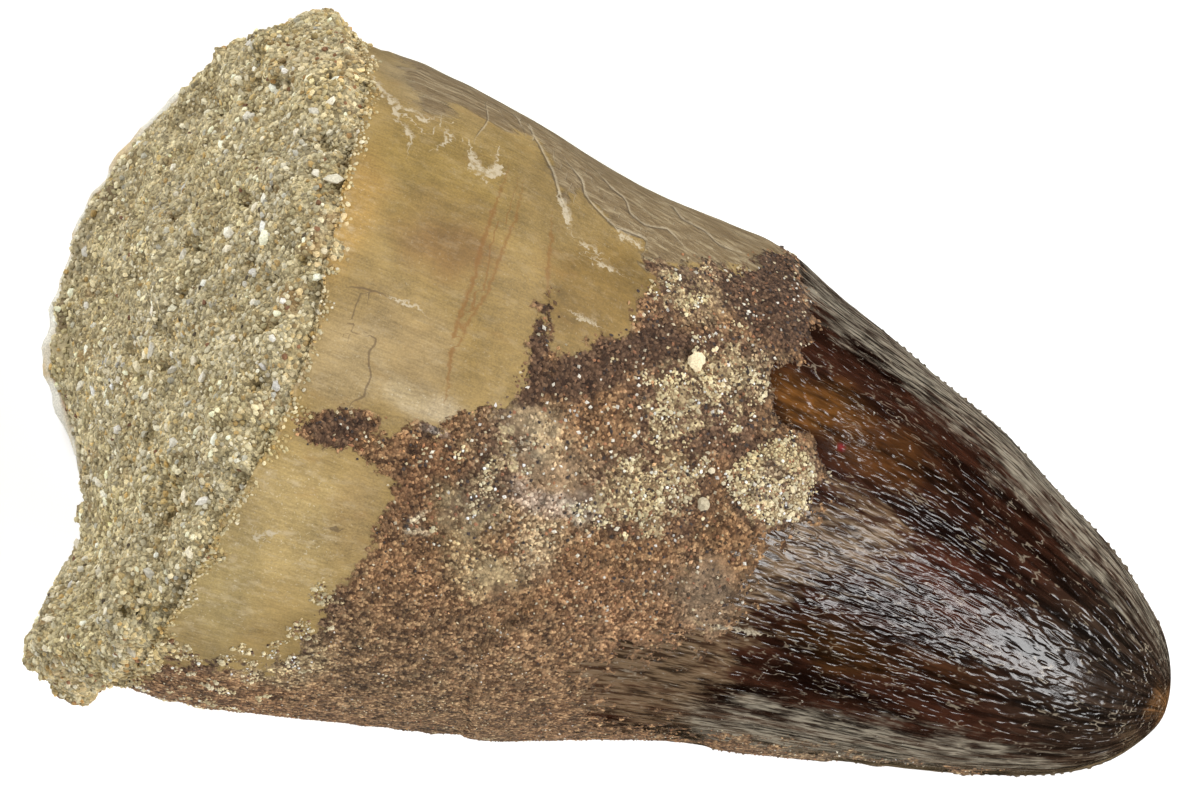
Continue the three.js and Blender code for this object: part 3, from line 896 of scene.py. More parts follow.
@dataclass(frozen=True)
class CrownFinish:
    """The crown's surface: dentine, enamel, the films and stains on them, and sandy crust."""

    rust: Colour = (0.3, 0.155, 0.035)
    pale_streak: Colour = (0.6, 0.48, 0.3)
    fleck: Colour = (0.76, 0.68, 0.5)
    lavender: Colour = (0.22, 0.152, 0.074)
    lavender_pale: Colour = (0.39, 0.305, 0.178)
    lavender_deep: Colour = (0.13, 0.085, 0.042)
    # Painted shade at the foot of each flake step of the lavender remnant.
    lavender_ledge_shade: Colour = (0.12, 0.08, 0.04)
    film: Colour = (0.245, 0.16, 0.088)
    # Partly the grey film's own colour, partly a painted sheen.
    silk: Colour = (0.36, 0.312, 0.232)
    # Pale lines on the wrinkle crests, and how much of them shows: partly worn ridge tops, partly painted
    # glints.
    worn: Colour = (0.44, 0.37, 0.27)
    worn_and_glint_share: float = 0.38
    dust: Colour = (0.52, 0.49, 0.42)
    stray_sand: Colour = (0.4, 0.3, 0.165)
    dark_ground: Colour = (0.108, 0.06, 0.036)
    cream: Colour = (0.43, 0.34, 0.195)
    purple: Colour = (0.088, 0.048, 0.027)
    scuff: Colour = (0.58, 0.5, 0.36)
    crack: Colour = (0.09, 0.055, 0.03)
    stain: Colour = (0.23, 0.1, 0.02)
    # The flake ledges: painted shadow on one side of each line and a painted highlight on the other.
    ledge_shade: Colour = (0.085, 0.058, 0.03)
    ledge_highlight: Colour = (0.5, 0.41, 0.27)
    enamel_roughness: float = 0.18
    film_roughness: float = 0.34
    dust_roughness: float = 0.8
    crust_roughness: float = 0.92
    dentine_roughness: float = 0.5
    specular: float = 0.42

    def material(self, cover: Cover) -> Material:
        """Builds the nodes for faces of one cover, or for those where the covers meet.

        Args:
            cover: What the faces show.

        Returns:
            The material for them.
        """
        web = Web(f"tooth_crown_{cover.value}")
        ragged = web.plus(web.noise(web.space, 0.34, 3.0, 0.6), -0.5)
        alone = {Cover.DENTINE: self._dentine, Cover.ENAMEL: self._enamel, Cover.CRUST: self._crust}
        surface = alone[cover](web) if cover in alone else self._mixed(web, ragged, cover)
        colour, rough = self._threads(web, surface[0], surface[2], ragged)
        web.bump(surface[1])
        return web.finish(colour, rough, self.specular)

    def _laid(self, web: Web, share: Socket, under: Surface, over: Surface) -> Surface:
        """Lays one surface over another, as far as its share goes."""
        colour = web.mix(share, under[0], over[0])
        return colour, web.lerp(share, under[1], over[1]), web.lerp(share, under[2], over[2])

    def _mixed(self, web: Web, ragged: Socket, cover: Cover) -> Surface:
        """Lays enamel over dentine, or takes one of them, and lays crust over it with a ragged edge.

        Args:
            web: The nodes that it joins.
            ragged: The noise that the enamel's edge follows.
            cover: What may lie under the crust.

        Returns:
            The surface of all of them.
        """
        surface = (self._enamel if cover is Cover.CRUST_ON_ENAMEL else self._dentine)(web)
        if cover is Cover.MIXED:
            edge = web.plus(web.stored("enamel"), web.times(ragged, 0.5))
            surface = self._laid(web, web.step(edge, -0.1, 0.1), surface, self._enamel(web))
        spread = web.step(web.stored("film"), -1.0, 0.6, 3.2, 10.0)
        loose = web.times(web.plus(web.noise(web.space, 0.8, 5.0, 0.72), -0.5), spread)
        edge = web.plus(web.stored("crust"), loose)
        return self._laid(web, web.step(edge, -0.12, 0.16), surface, self._crust(web))

    def _dentine(self, web: Web) -> Surface:
        """Bare dentine: soft clouds and fine streaks along it, and its flaky lavender remnant."""
        space = web.space
        streaks = web.noise(web.stretched(space, 0.16), 1.1, 3.0, 0.6, 0.3)
        hairs = web.noise(web.stretched(space, 0.07), 0.13, 2.0, 0.6)
        bands = web.noise(web.stretched(space, 1.0, 0.08), 0.3, 2.0, 0.6)
        cloud = web.noise(space, 2.6, 4.0, 0.6, 0.6)
        grit = web.noise(space, 0.1, 2.0, 0.6)
        amount = web.plus(
            web.step(streaks, 0.32, 0.68, -0.08, 0.08), web.step(hairs, 0.3, 0.7, -0.1, 0.1),
            web.step(bands, 0.36, 0.44, -0.05, 0.0), web.step(cloud, 0.3, 0.7, 0.86, 1.12),
            web.step(grit, 0.3, 0.7, -0.12, 0.12),
        )
        colour = web.shade(web.stored("dentine_tone", "Color"), amount)
        rust = web.noise(web.stretched(space, 0.5), 1.5, 3.0, 0.62)
        colour = web.mix(web.step(rust, 0.56, 0.8, 0.0, 0.4), colour, self.rust)
        pale = web.noise(web.stretched(space, 0.5), 0.6, 4.0, 0.76)
        light = web.step(web.red(web.stored("dentine_tone", "Color")), 0.33, 0.42, 0.14, 0.55)
        colour = web.mix(web.times(light, web.step(pale, 0.48, 0.7)), colour, self.pale_streak)
        flecks = web.step(web.noise(space, 0.16, 4.0, 0.7), 0.6, 0.68)
        colour = web.mix(web.times(light, flecks), colour, self.fleck)

        lines = web.noise(web.stretched(space, 0.1), 0.26, 5.0, 0.7)
        flakes = web.noise(web.stretched(space, 0.3), 1.5, 4.0, 0.58)
        terrace = web.sum("FRACT", web.times(flakes, 9.0))
        lavender = web.mix(web.step(lines, 0.46, 0.66), self.lavender, self.lavender_pale)
        lavender = web.mix(web.step(lines, 0.36, 0.46, 0.6, 0.0), lavender, self.lavender_deep)
        # A dark line at the foot of each flake step: painted shade under the ledge.
        lavender = web.mix(web.step(terrace, 0.0, 0.16, 0.45, 0.0), lavender, self.lavender_ledge_shade)
        edge = web.plus(web.stored("lavender"), web.times(web.plus(flakes, -0.5), 2.2))
        cover = web.step(edge, -0.1, 0.16, 0.0, 0.92)
        colour = web.mix(cover, colour, lavender)
        height = web.plus(
            web.times(lines, web.lerp(cover, 0.02, 0.16)), web.times(hairs, 0.012),
            web.times(terrace, cover, 0.05), web.times(cover, 0.06),
        )
        return colour, height, self.dentine_roughness

    def _enamel(self, web: Web) -> Surface:
        """Glossy wrinkled enamel with painted light and shade on its wrinkles, its thin pale film, and its
        silky grey flanks painted pale for a sheen as well as a film.
        """
        space = web.space
        flow = web.stored("flow", "Vector")
        swing = web.sum("ABSOLUTE", web.plus(self._along(web, 0.32, 0.4, 1.4, 0.5, 0.1), -0.5))
        crest = web.step(swing, 0.0, 0.16, 1.0, 0.0)
        striae = self._along(web, 0.16, 0.22, 2.0, 0.6)
        broken = web.noise(web.stretched(space, 0.5), 0.7, 4.0, 0.72)
        grit = web.noise(space, 0.15, 2.0, 0.55)
        cloud = web.noise(web.stretched(flow, 0.16), 1.1, 4.0, 0.66)
        # The wrinkle crests are painted a little lighter and the grooves between them darker: painted light
        # and shade on the wrinkles, over random clouds.
        amount = web.times(web.step(cloud, 0.36, 0.66, 0.28, 1.7), web.step(crest, 0.0, 0.8, 0.85, 1.2))
        colour = web.shade(web.stored("enamel_tone", "Color"), amount)

        wisps = web.plus(web.noise(web.stretched(flow, 0.3), 0.9, 4.0, 0.72), -0.5)
        film = web.step(web.plus(web.stored("film"), web.times(wisps, 9.0)), -0.8, 1.2)
        film = web.times(film, web.step(striae, 0.38, 0.6, 0.1, 0.68))
        colour = web.mix(film, colour, self.film)

        # Silk: a grey film on the flanks, painted pale enough to stand for the sheen that they reflect:
        # partly real film, partly painted reflection.
        silk = web.step(web.plus(web.stored("silk"), web.times(wisps, 6.0)), -0.3, 1.6)
        silk = web.times(silk, web.step(striae, 0.38, 0.6, 0.06, 0.75))
        colour = web.mix(silk, colour, self.silk)

        # Thin pale lines along the crests, stronger towards the tip: partly worn ridge tops, partly painted
        # glints.
        worn = web.times(
            web.step(swing, 0.004, 0.026, 1.0, 0.0), web.step(broken, 0.5, 0.6, 0.0, self.worn_and_glint_share),
            web.step(web.stored("slender"), 0.6, 2.0, 1.0, 1.8),
        )
        colour = web.mix(worn, colour, self.worn)
        dust = web.step(web.noise(space, 0.32, 4.0, 0.78), 0.665, 0.71, 0.0, 0.8)
        colour = web.mix(dust, colour, self.dust)
        rough = self.enamel_roughness
        for cover in (film, silk):
            rough = web.lerp(cover, rough, self.film_roughness)
        rough = web.lerp(dust, rough, self.dust_roughness)
        height = web.plus(web.times(crest, 0.034), web.times(grit, 0.006), web.times(striae, 0.01))
        return colour, height, rough

    def _along(self, web: Web, stretch: float, pitch: float, detail: float, rough: float,
               bend: float = 0.0) -> Socket:
        """Makes noise drawn out along the crown, on thinner tubes as it tapers and plain at its tip.

        Args:
            web: The nodes it joins.
            stretch: How short it is across for its length.
            pitch: Its width, in millimetres.
            detail: How many finer layers it has.
            rough: How strong the finer layers are.
            bend: How far it is warped by itself.

        Returns:
            A number from about 0.2 to 0.8.
        """
        flow = web.stored("flow", "Vector")
        slender = web.stored("slender")
        thinner = SLENDER_RADIUS / FLOW_RADIUS
        wide = web.noise(web.stretched(flow, stretch), pitch, detail, rough, bend)
        thin = web.noise(web.stretched(flow, stretch, thinner), pitch, detail, rough, bend)
        knob = web.noise(web.stretched(web.space, max(stretch, 0.5)), pitch, detail, rough, bend)
        body = web.lerp(web.step(slender, 0.0, 1.0), wide, thin)
        return web.lerp(web.step(slender, 1.0, 2.0), body, knob)

    def _crust(self, web: Web) -> Surface:
        """Cemented sand: bead-like grains in a brown ground, with cream crumbs, purple stains and painted
        shade in the gaps between the grains.
        """
        space = web.space
        far, own = web.cells(space, 0.16)
        coarse, _ = web.cells(space, 0.34)
        bright = web.ramp(web.red(own), (
            (0.0, (0.3, 0.23, 0.18)), (0.22, (0.6, 0.51, 0.44)), (0.5, (0.98, 0.92, 0.86)),
            (0.78, (1.45, 1.42, 1.38)), (0.93, (2.1, 2.2, 2.2)),
        ))
        mottle = web.noise(space, 0.9, 4.0, 0.7, 0.4)
        patchy = web.plus(web.noise(space, 1.0, 4.0, 0.7), -0.5)
        ground = web.shade(web.stored("crust_tone", "Color"), web.step(mottle, 0.32, 0.68, 0.55, 1.5))
        smear = web.step(web.plus(web.stored("smear"), web.times(patchy, 2.5)), -0.1, 0.5)
        stray = web.step(web.noise(space, 1.5, 4.0, 0.74, 0.8), 0.57, 0.7, 0.0, 0.5)
        ground = web.mix(stray, ground, self.stray_sand)

        crumbs = web.plus(web.stored("cream"), web.times(patchy, 9.0))
        between = web.step(web.stored("cream"), -0.6, 0.5, 0.0, 0.75)
        ground = web.mix(between, ground, self.dark_ground)
        ground = web.mix(web.step(crumbs, 0.7, 1.6, 0.0, 0.85), ground, self.cream)
        stain = web.plus(web.stored("purple"), web.times(patchy, 2.6))
        ground = web.mix(web.step(stain, -0.35, 0.3, 0.0, 0.95), ground, self.purple)
        grainy = web.sum("SUBTRACT", 1.0, web.times(smear, 0.72))
        colour = web.mix(grainy, ground, bright, "MULTIPLY")
        # Darker towards the edge of each grain's cell: painted shade in the gaps between the grains.
        colour = web.shade(colour, web.step(far, 0.35, 0.75, 1.0, 0.7))
        height = web.plus(web.times(far, -0.085, grainy), web.times(coarse, -0.1), web.times(mottle, 0.25))
        return colour, height, self.crust_roughness

    def _threads(self, web: Web, colour: Socket, rough: Socket, ragged: Socket) -> tuple[Socket, Socket]:
        """Draws the cracks, stains, scuffs and flake ledges over the rest.

        Args:
            web: The nodes that they join.
            colour: The colour that they are drawn over.
            rough: The roughness there.
            ragged: The noise that they wander with.

        Returns:
            The colour and the roughness with the lines drawn in.
        """
        def line(kind: Thread, wander: float, soft: float) -> Socket:
            """Returns 1 on a family's lines and 0 off them."""
            side = web.plus(web.stored(f"{kind.value}_side"), web.times(ragged, wander))
            room = web.sum("SUBTRACT", web.stored(f"{kind.value}_width"), web.sum("ABSOLUTE", side))
            return web.step(room, -soft, soft)

        colour = web.mix(web.times(line(Thread.STAIN, 0.5, 0.1), 0.7), colour, self.stain)
        # Flake ledges: a painted highlight on one side of each line and painted shadow on the other.
        side = web.step(web.stored("ledge_side"), -0.03, 0.03)
        edge = web.mix(side, self.ledge_shade, self.ledge_highlight)
        colour = web.mix(web.times(line(Thread.LEDGE, 0.22, 0.05), 0.7), colour, edge)
        scuff = web.times(line(Thread.SCUFF, 1.1, 0.06), web.step(ragged, -0.14, 0.06, 0.15, 0.7))
        colour = web.mix(scuff, colour, self.scuff)
        colour = web.mix(web.times(line(Thread.CRACK, 0.12, 0.035), 0.6), colour, self.crack)
        return colour, web.lerp(scuff, rough, self.dust_roughness)


@dataclass(frozen=True)
class RockFinish:
    """The cement between the sand grains."""

    dark: Colour = (0.32, 0.25, 0.125)
    light: Colour = (0.54, 0.46, 0.275)
    rust: Colour = (0.36, 0.2, 0.07)
    roughness: float = 0.95

    def material(self) -> Material:
        """Builds the nodes."""
        web = Web("sandy_rock_finish")
        far, own = web.cells(web.space, 0.15)
        wide, other = web.cells(web.space, 0.3)
        cloud = web.noise(web.space, 1.7, 3.0, 0.65)
        colour = web.mix(web.step(cloud, 0.32, 0.68), self.dark, self.light)
        colour = web.shade(colour, web.step(web.red(own), 0.0, 1.0, 0.65, 1.45))
        colour = web.shade(colour, web.step(web.red(other), 0.0, 1.0, 0.75, 1.3))
        rust = web.step(web.noise(web.space, 2.6, 2.0, 0.65), 0.58, 0.74, 0.0, 0.5)
        colour = web.mix(rust, colour, self.rust)
        pits = web.noise(web.space, 0.6, 3.0, 0.7)
        # Darker in the hollows of the same noise that sinks the bump: painted shade in the pits.
        colour = web.shade(colour, web.step(pits, 0.3, 0.42, 0.45, 1.0))
        web.bump(web.plus(web.times(far, -0.08), web.times(wide, -0.14), web.times(pits, 0.25)))
        return web.finish(colour, self.roughness, 0.25)


@dataclass(frozen=True)
class GrainFinish:
    """Loose-looking sand grains, each in the colour that it carries."""

    name: str
    roughness: float = 0.75

    def material(self) -> Material:
        """Builds the nodes."""
        web = Web(self.name)
        mottle = web.noise(web.space, 0.09, 1.0, 0.6)
        colour = web.shade(web.stored("tone", "Color"), web.step(mottle, 0.3, 0.7, 0.84, 1.14))
        return web.finish(colour, self.roughness, 0.35)


@dataclass(frozen=True)
class FloorFinish:
    """A plain pale table."""

    colour: Colour = (0.8, 0.8, 0.8)
    glow: float = 0.44

    def material(self) -> Material:
        """Builds the nodes."""
        web = Web("pale_floor")
        web.feed(web.shader.inputs["Emission Color"], (1.0, 1.0, 1.0))
        web.feed(web.shader.inputs["Emission Strength"], self.glow)
        return web.finish(self.colour, 0.9, 0.1)


# ---- The crown ----

@dataclass
class Crown:
    """The tooth itself: outside, broken wall and the bowl that the rock fills."""

    columns_above: int = 380
    columns_below: int = 110
    rings_outside: int = 186
    rings_wall: int = 5
    rings_bowl: int = 7
    tip_crowding: float = 0.25
    break_cover: float = -0.15
    swell: float = 0.25
    sink: float = 0.15
    enamel_step: float = 0.22
    wrinkle_height: float = 0.028
    wrinkle_pitch: float = 0.56
    wrinkle_stretch: float = 4.2
    crust_height: float = 0.16
    keel_width: float = 5.0
    trim_width: float = 22.0
    border_width: float = 21.0
    thread_limit: float = 0.22
    enamel_edge: float = 0.3
    crust_reach: tuple[float, float] = (1.1, 3.2)
    dentine_under: Colour = (0.33, 0.22, 0.085)
    crust_under: Colour = (0.24, 0.165, 0.09)
    enamel_border: Colour = (0.125, 0.09, 0.05)
    wall_pale: Colour = (0.74, 0.7, 0.54)
    wall_line: Colour = (0.42, 0.22, 0.07)
    wall_inside: Colour = (0.46, 0.38, 0.22)
    trims: SmoothCurve = field(default_factory=lambda: SmoothCurve(EDGE_TRIMS))
    finish: CrownFinish = field(default_factory=CrownFinish)

    def build(self) -> Object:
        """Makes the crown's mesh with what each place on it is made of, and dresses it."""
        columns = self.columns_above + self.columns_below
        wall_ring = self.rings_outside + self.rings_wall
        rings = wall_ring + self.rings_bowl
        clear_selection()
        bpy.ops.mesh.primitive_uv_sphere_add(segments=columns, ring_count=rings, radius=1.0)
        crown = bpy.context.object
        crown.name = crown.data.name = "crown"
        ball = read_points(crown.data)
        ring = np.rint(np.arccos(np.clip(ball[:, 2], -1, 1)) / math.pi * rings).astype(int)
        column = np.rint(np.arctan2(ball[:, 1], ball[:, 0]) / math.tau * columns).astype(int) % columns
        above = column / self.columns_above * math.pi
        below = math.pi + (column - self.columns_above) / self.columns_below * math.pi
        angle = np.where(column <= self.columns_above, above, below)

        rim = FORM.rim_x(angle) - self.break_cover * (1.0 - FORM.wall_share(angle))
        along = np.clip(ring / self.rings_outside, 0.0, 1.0)
        share = along * along * (1.0 + self.tip_crowding) / (along + self.tip_crowding)
        x = blend(FORM.TIP_X, rim, share)
        bare = FORM.point(x, angle)
        inset = blend(FORM.BREAK_LIP, FORM.WALL, FORM.wall_share(angle))
        inset = inset * np.clip((ring - self.rings_outside) / self.rings_wall, 0.0, 1.0)
        store(crown.data, "wall_end", inset)
        points = FORM.point(x, angle, self._relief(crown.data, bare, angle, inset))
        inner = self._bowl((ring - wall_ring) / self.rings_bowl, rim, angle, inset)
        points = np.where((ring > self.rings_outside)[:, None], inner, points)
        points[:, 2] = np.maximum(points[:, 2], 0.0)
        move_points(crown.data, points * MM)
        select_only(crown)
        bpy.ops.object.shade_smooth()
        self._dress(crown.data)
        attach(crown, "root")
        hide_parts("tooth_crown")
        return crown

    def _dress(self, mesh: Mesh) -> None:
        """Gives each face the finish of its cover, and the mixed one wherever covers may meet."""
        enamel, crust, film = (
            read_stored(mesh, patch.value).astype(float) for patch in (Patch.ENAMEL, Patch.CRUST, Patch.FILM)
        )
        reach = blend(*self.crust_reach, ease(film, -1.0, 0.6))
        in_enamel, in_dentine = enamel > self.enamel_edge, enamel < -self.enamel_edge
        bare = crust < -reach
        rules = {
            Cover.CRUST: crust > reach, Cover.ENAMEL: bare & in_enamel, Cover.DENTINE: bare & in_dentine,
            Cover.CRUST_ON_DENTINE: in_dentine, Cover.CRUST_ON_ENAMEL: in_enamel,
        }
        order = list(Cover)
        mixed = order.index(Cover.MIXED)
        kinds = np.select(list(rules.values()), [order.index(cover) for cover in rules], mixed)
        corners = np.empty(len(mesh.loops), dtype=np.int32)
        starts = np.empty(len(mesh.polygons), dtype=np.int32)
        mesh.loops.foreach_get("vertex_index", corners)
        mesh.polygons.foreach_get("loop_start", starts)
        low = np.minimum.reduceat(kinds[corners], starts)
        high = np.maximum.reduceat(kinds[corners], starts)
        for cover in order:
            mesh.materials.append(self.finish.material(cover))
        mesh.polygons.foreach_set("material_index", np.where(low == high, low, mixed).astype(np.int32))

    def _bowl(self, share: Array, rim: Array, angle: Array, inset: Array) -> Array:
        """Places the end of the wall and the bowl inside it."""
        edge = FORM.point(rim, angle, -inset)
        inward = np.clip(share, 0.0, 1.0) ** 1.6
        y = blend(edge[:, 1], FORM.base.y, inward)
        z = blend(edge[:, 2], FORM.base.z, inward)
        dish = ease(1.0 - inward, 0.8, 1.0)
        rough = 0.25 * NOISE.layered(edge, 1.2, 2, 23.0) * np.minimum(inset, 1.0)
        return np.stack([blend(FORM.break_x(y, z), rim + rough, dish), y, z], axis=1)

    def _relief(self, mesh: Mesh, bare: Array, angle: Array, inset: Array) -> Array:
        """Works out how far the surface stands off the smooth form, and stores what it is made of.

        Args:
            mesh: The mesh that the finishes are stored in.
            bare: Each vertex on the smooth form.
            angle: Each vertex's turn around the tooth.
            inset: How far each vertex lies in from the outside, across the wall's end.

        Returns:
            One height in millimetres for each vertex.
        """
        fields = self._fields(bare, angle)
        plan = plan_of(bare)
        x = bare[:, 0]
        enamel = ease(fields[Patch.ENAMEL], -0.25, 0.25)
        crust = ease(fields[Patch.CRUST], -0.15, 0.5)
        lavender = ease(fields[Patch.LAVENDER], -0.1, 0.25) * (1.0 - enamel)
        wrinkle = self._wrinkles(bare, angle)
        pebble = NOISE.at(bare, 0.55, 3.1)
        near_tip = ease(x, 21.0, 28.0)
        ridges = blend(wrinkle, 0.5 + 0.8 * pebble, 0.55 * near_tip)

        relief = self.swell * NOISE.at(bare, 8.0) - self.sink
        flutes = NOISE.at(bare * (0.2, 1.0, 1.0), 3.1, 9.0)
        relief += enamel * (self.enamel_step + 0.12 * flutes + self.wrinkle_height * ridges)
        bands = NOISE.at(bare * (2.5, 0.33, 0.33), 6.0, 4.0)
        relief += (1.0 - enamel) * 0.08 * bands
        relief += lavender * (0.1 + 0.05 * NOISE.layered(bare * (0.3, 1.0, 1.0), 0.9, 2, 2.0))
        lumps = NOISE.layered(bare, 1.3, 3, 5.5)
        thick = 0.45 + 0.55 * ease(fields[Patch.CREAM], -0.4, 1.2)
        relief += crust * (0.03 + self.crust_height * thick * (0.9 + 1.2 * lumps))
        relief += self._keels(x, angle)

        for kind, lines in THREADS.items():
            side, width = thread_fields(lines, plan)
            store(mesh, f"{kind.value}_side", np.clip(side, -1.0, 1.0))
            store(mesh, f"{kind.value}_width", np.where(np.sin(angle) > self.thread_limit, width, -1.0))
        for kind, values in fields.items():
            store(mesh, kind.value, np.clip(values, -3.0, 3.0))
        away = x - FORM.rim_x(angle) + 6.0 * FORM.wall_share(angle)
        store(mesh, "from_break", np.clip(away, -1.0, 4.0))
        around = FORM.off_axis(bare)
        store(mesh, "slender", 2.0 - ease(around, 5.5, 10.0) - ease(around, 2.4, 4.6))
        store(mesh, "flow", np.stack([x, FLOW_RADIUS * np.cos(angle), FLOW_RADIUS * np.sin(angle)], axis=1))
        self._tones(mesh, bare, angle, plan, inset)
        return relief * ease(FORM.TIP_X - x, 0.0, 2.0)

    def _fields(self, bare: Array, angle: Array) -> dict[Patch, Array]:
        """Measures each finish's cover: above 0 where it lies, below 0 where it doesn't."""
        flank = 2.4 * (1.0 - ease(np.sin(angle), 0.0, 0.55))
        plan = plan_of(bare) + flank[:, None] * np.stack([
            NOISE.layered(bare, 3.2, 3, shift) for shift in (53.0, 57.0)
        ], axis=1)
        ragged = 0.55 * NOISE.layered(bare, 2.1, 3, 1.0)
        nibbled = 0.35 * NOISE.layered(bare, 0.8, 2, 2.0)
        under = ease(-np.sin(angle), 0.05, 0.35)
        x = bare[:, 0]
        broad = NOISE.layered(bare, 7.0, 3, 8.0)
        below = {
            Patch.CRUST: 2.6 * broad - 0.25 * np.abs(x + 8.0) + 1.2,
            Patch.ENAMEL: x - 4.0 - 2.0 * broad,
            Patch.LAVENDER: -0.9 + 2.6 * NOISE.layered(bare, 4.0, 3, 7.0),
            Patch.FILM: -0.8 + 2.4 * NOISE.layered(bare, 5.0, 2, 3.0),
            Patch.SILK: -0.4 + 2.4 * NOISE.layered(bare, 6.0, 2, 6.0),
            Patch.PURPLE: -1.2 + 2.4 * NOISE.layered(bare, 4.0, 2, 4.0),
            Patch.CREAM: -1.0 + 2.6 * NOISE.layered(bare, 3.6, 2, 5.0),
        }
        wander = {Patch.LAVENDER: 0.35, Patch.ENAMEL: 0.6, Patch.PURPLE: 0.6}
        fields = {}
        for patch, outlines in OUTLINES.items():
            depth = np.max([depth_inside(outline, plan) for outline in outlines], axis=0)
            depth = depth + wander.get(patch, 1.0) * (ragged + nibbled)
            if patch is Patch.CREAM:
                reach = np.hypot(*(plan - RING_CLUMP[:2]).T)
                ring = 2.6 - 3.2 * np.abs(reach - RING_CLUMP[2])
                lower = plan[:, 1] - 0.6 * (plan[:, 0] - RING_CLUMP[0]) < RING_CLUMP[1]
                inside = np.where(reach < RING_CLUMP[2], np.where(lower, 1.5, 0.0), -9.0)
                depth = np.maximum(depth, np.maximum(ring, inside) + 0.5 * ragged)
            fields[patch] = blend(depth, below[patch], under)
        fields[Patch.SILK] = fields[Patch.SILK] - 3.0 * hump(np.degrees(angle) - 180.0, self.border_width)
        smears = [1.0 - np.hypot((plan[:, 0] - x) / rx, (plan[:, 1] - y) / ry) for x, y, rx, ry in SMEARS]
        smear = np.max(smears, axis=0) + 1.1 * NOISE.layered(bare, 1.2, 4, 27.0)
        fields[Patch.SMEAR] = blend(smear, broad, under)
        return fields

    def _wrinkles(self, bare: Array, angle: Array) -> Array:
        """Draws fine branching ridges that run along the crown and keep their pitch as it tapers."""
        around = FORM.off_axis(bare)
        turn = angle + 0.05 * NOISE.at(bare, 2.4, 6.0)
        total = np.zeros(len(bare))
        for level in range(6):
            radius = 20.0 / 2**level
            near = np.clip(1.0 - np.abs(np.log2(np.maximum(around, 0.4) / radius)), 0.0, 1.0)
            place = np.stack([
                bare[:, 0] / self.wrinkle_stretch, radius * np.cos(turn), radius * np.sin(turn),
            ], axis=1)
            crest = 1.0 - 2.6 * np.abs(NOISE.at(place, self.wrinkle_pitch, 3.0 * level))
            total += near * np.clip(crest, 0.0, 1.0)
        return total

    def _keels(self, x: Array, angle: Array) -> Array:
        """Raises the two cutting edges, and trims the outline along them."""
        turn = np.degrees(angle)
        front = (turn + 180.0) % 360.0 - 180.0
        back = turn - 180.0
        level = 0.2 * hump(front, self.keel_width) * ease(x, -2.0, 4.0)
        level += 0.2 * hump(back, self.keel_width) * ease(x, 4.0, 12.0)
        trim_front, trim_back = self.trims.at(x).T
        level += trim_front * hump(front, self.trim_width)
        return level + trim_back * hump(back, self.trim_width)

    def _tones(self, mesh: Mesh, bare: Array, angle: Array, plan: Array, inset: Array) -> None:
        """Stores the broad colours of the dentine, the enamel and the crust."""
        warp = np.stack([NOISE.at(bare, 2.0, 11.0), NOISE.at(bare, 2.0, 13.0)], axis=1)
        strayed = plan + 0.7 * warp
        under = ease(-np.sin(angle), 0.0, 0.3)[:, None]
        pale = (1.0 - ease(bare[:, 0] - FORM.rim_x(angle), 0.5, 2.2)) * FORM.wall_share(angle)
        line = ease(inset, 0.35, 0.5) * (0.5 + 0.5 * ease(NOISE.at(bare, 1.5, 19.0), -0.3, 0.3))
        dentine = blend(painted(DENTINE_GROUND, DENTINE_BLOTS, strayed), self.dentine_under, under)
        for colour, share in (
            (self.wall_pale, pale), (self.wall_line, line), (self.wall_inside, ease(inset, 0.6, 0.9)),
        ):
            dentine = blend(dentine, colour, share[:, None])
        store_colour(mesh, "dentine_tone", dentine)
        enamel = blend(painted(ENAMEL_GROUND, ENAMEL_BLOTS, strayed), ENAMEL_GROUND, under)
        border = hump(np.degrees(angle) - 180.0, self.border_width) * ease(bare[:, 0], 4.0, 8.0)
        enamel = blend(enamel, self.enamel_border, 0.9 * border[:, None])
        store_colour(mesh, "enamel_tone", enamel)
        crumbled = strayed + np.stack([
            0.75 * NOISE.layered(bare, 1.0, 3, shift) for shift in (43.0, 47.0)
        ], axis=1)
        crust = blend(painted(CRUST_GROUND, CRUST_BLOTS, crumbled), self.crust_under, under)
        store_colour(mesh, "crust_tone", crust)


# How thick the wall's edge shows, over y.
WALL_EDGE_RADII = (
    (-20, 0.03), (-9, 0.03), (-6.8, 0.1), (-5, 0.42), (-3.2, 0.56), (-1, 0.46), (1, 0.34), (3.5, 0.28),
    (7, 0.24), (11, 0.28), (13, 0.2), (15, 0.03), (22, 0.03),
)


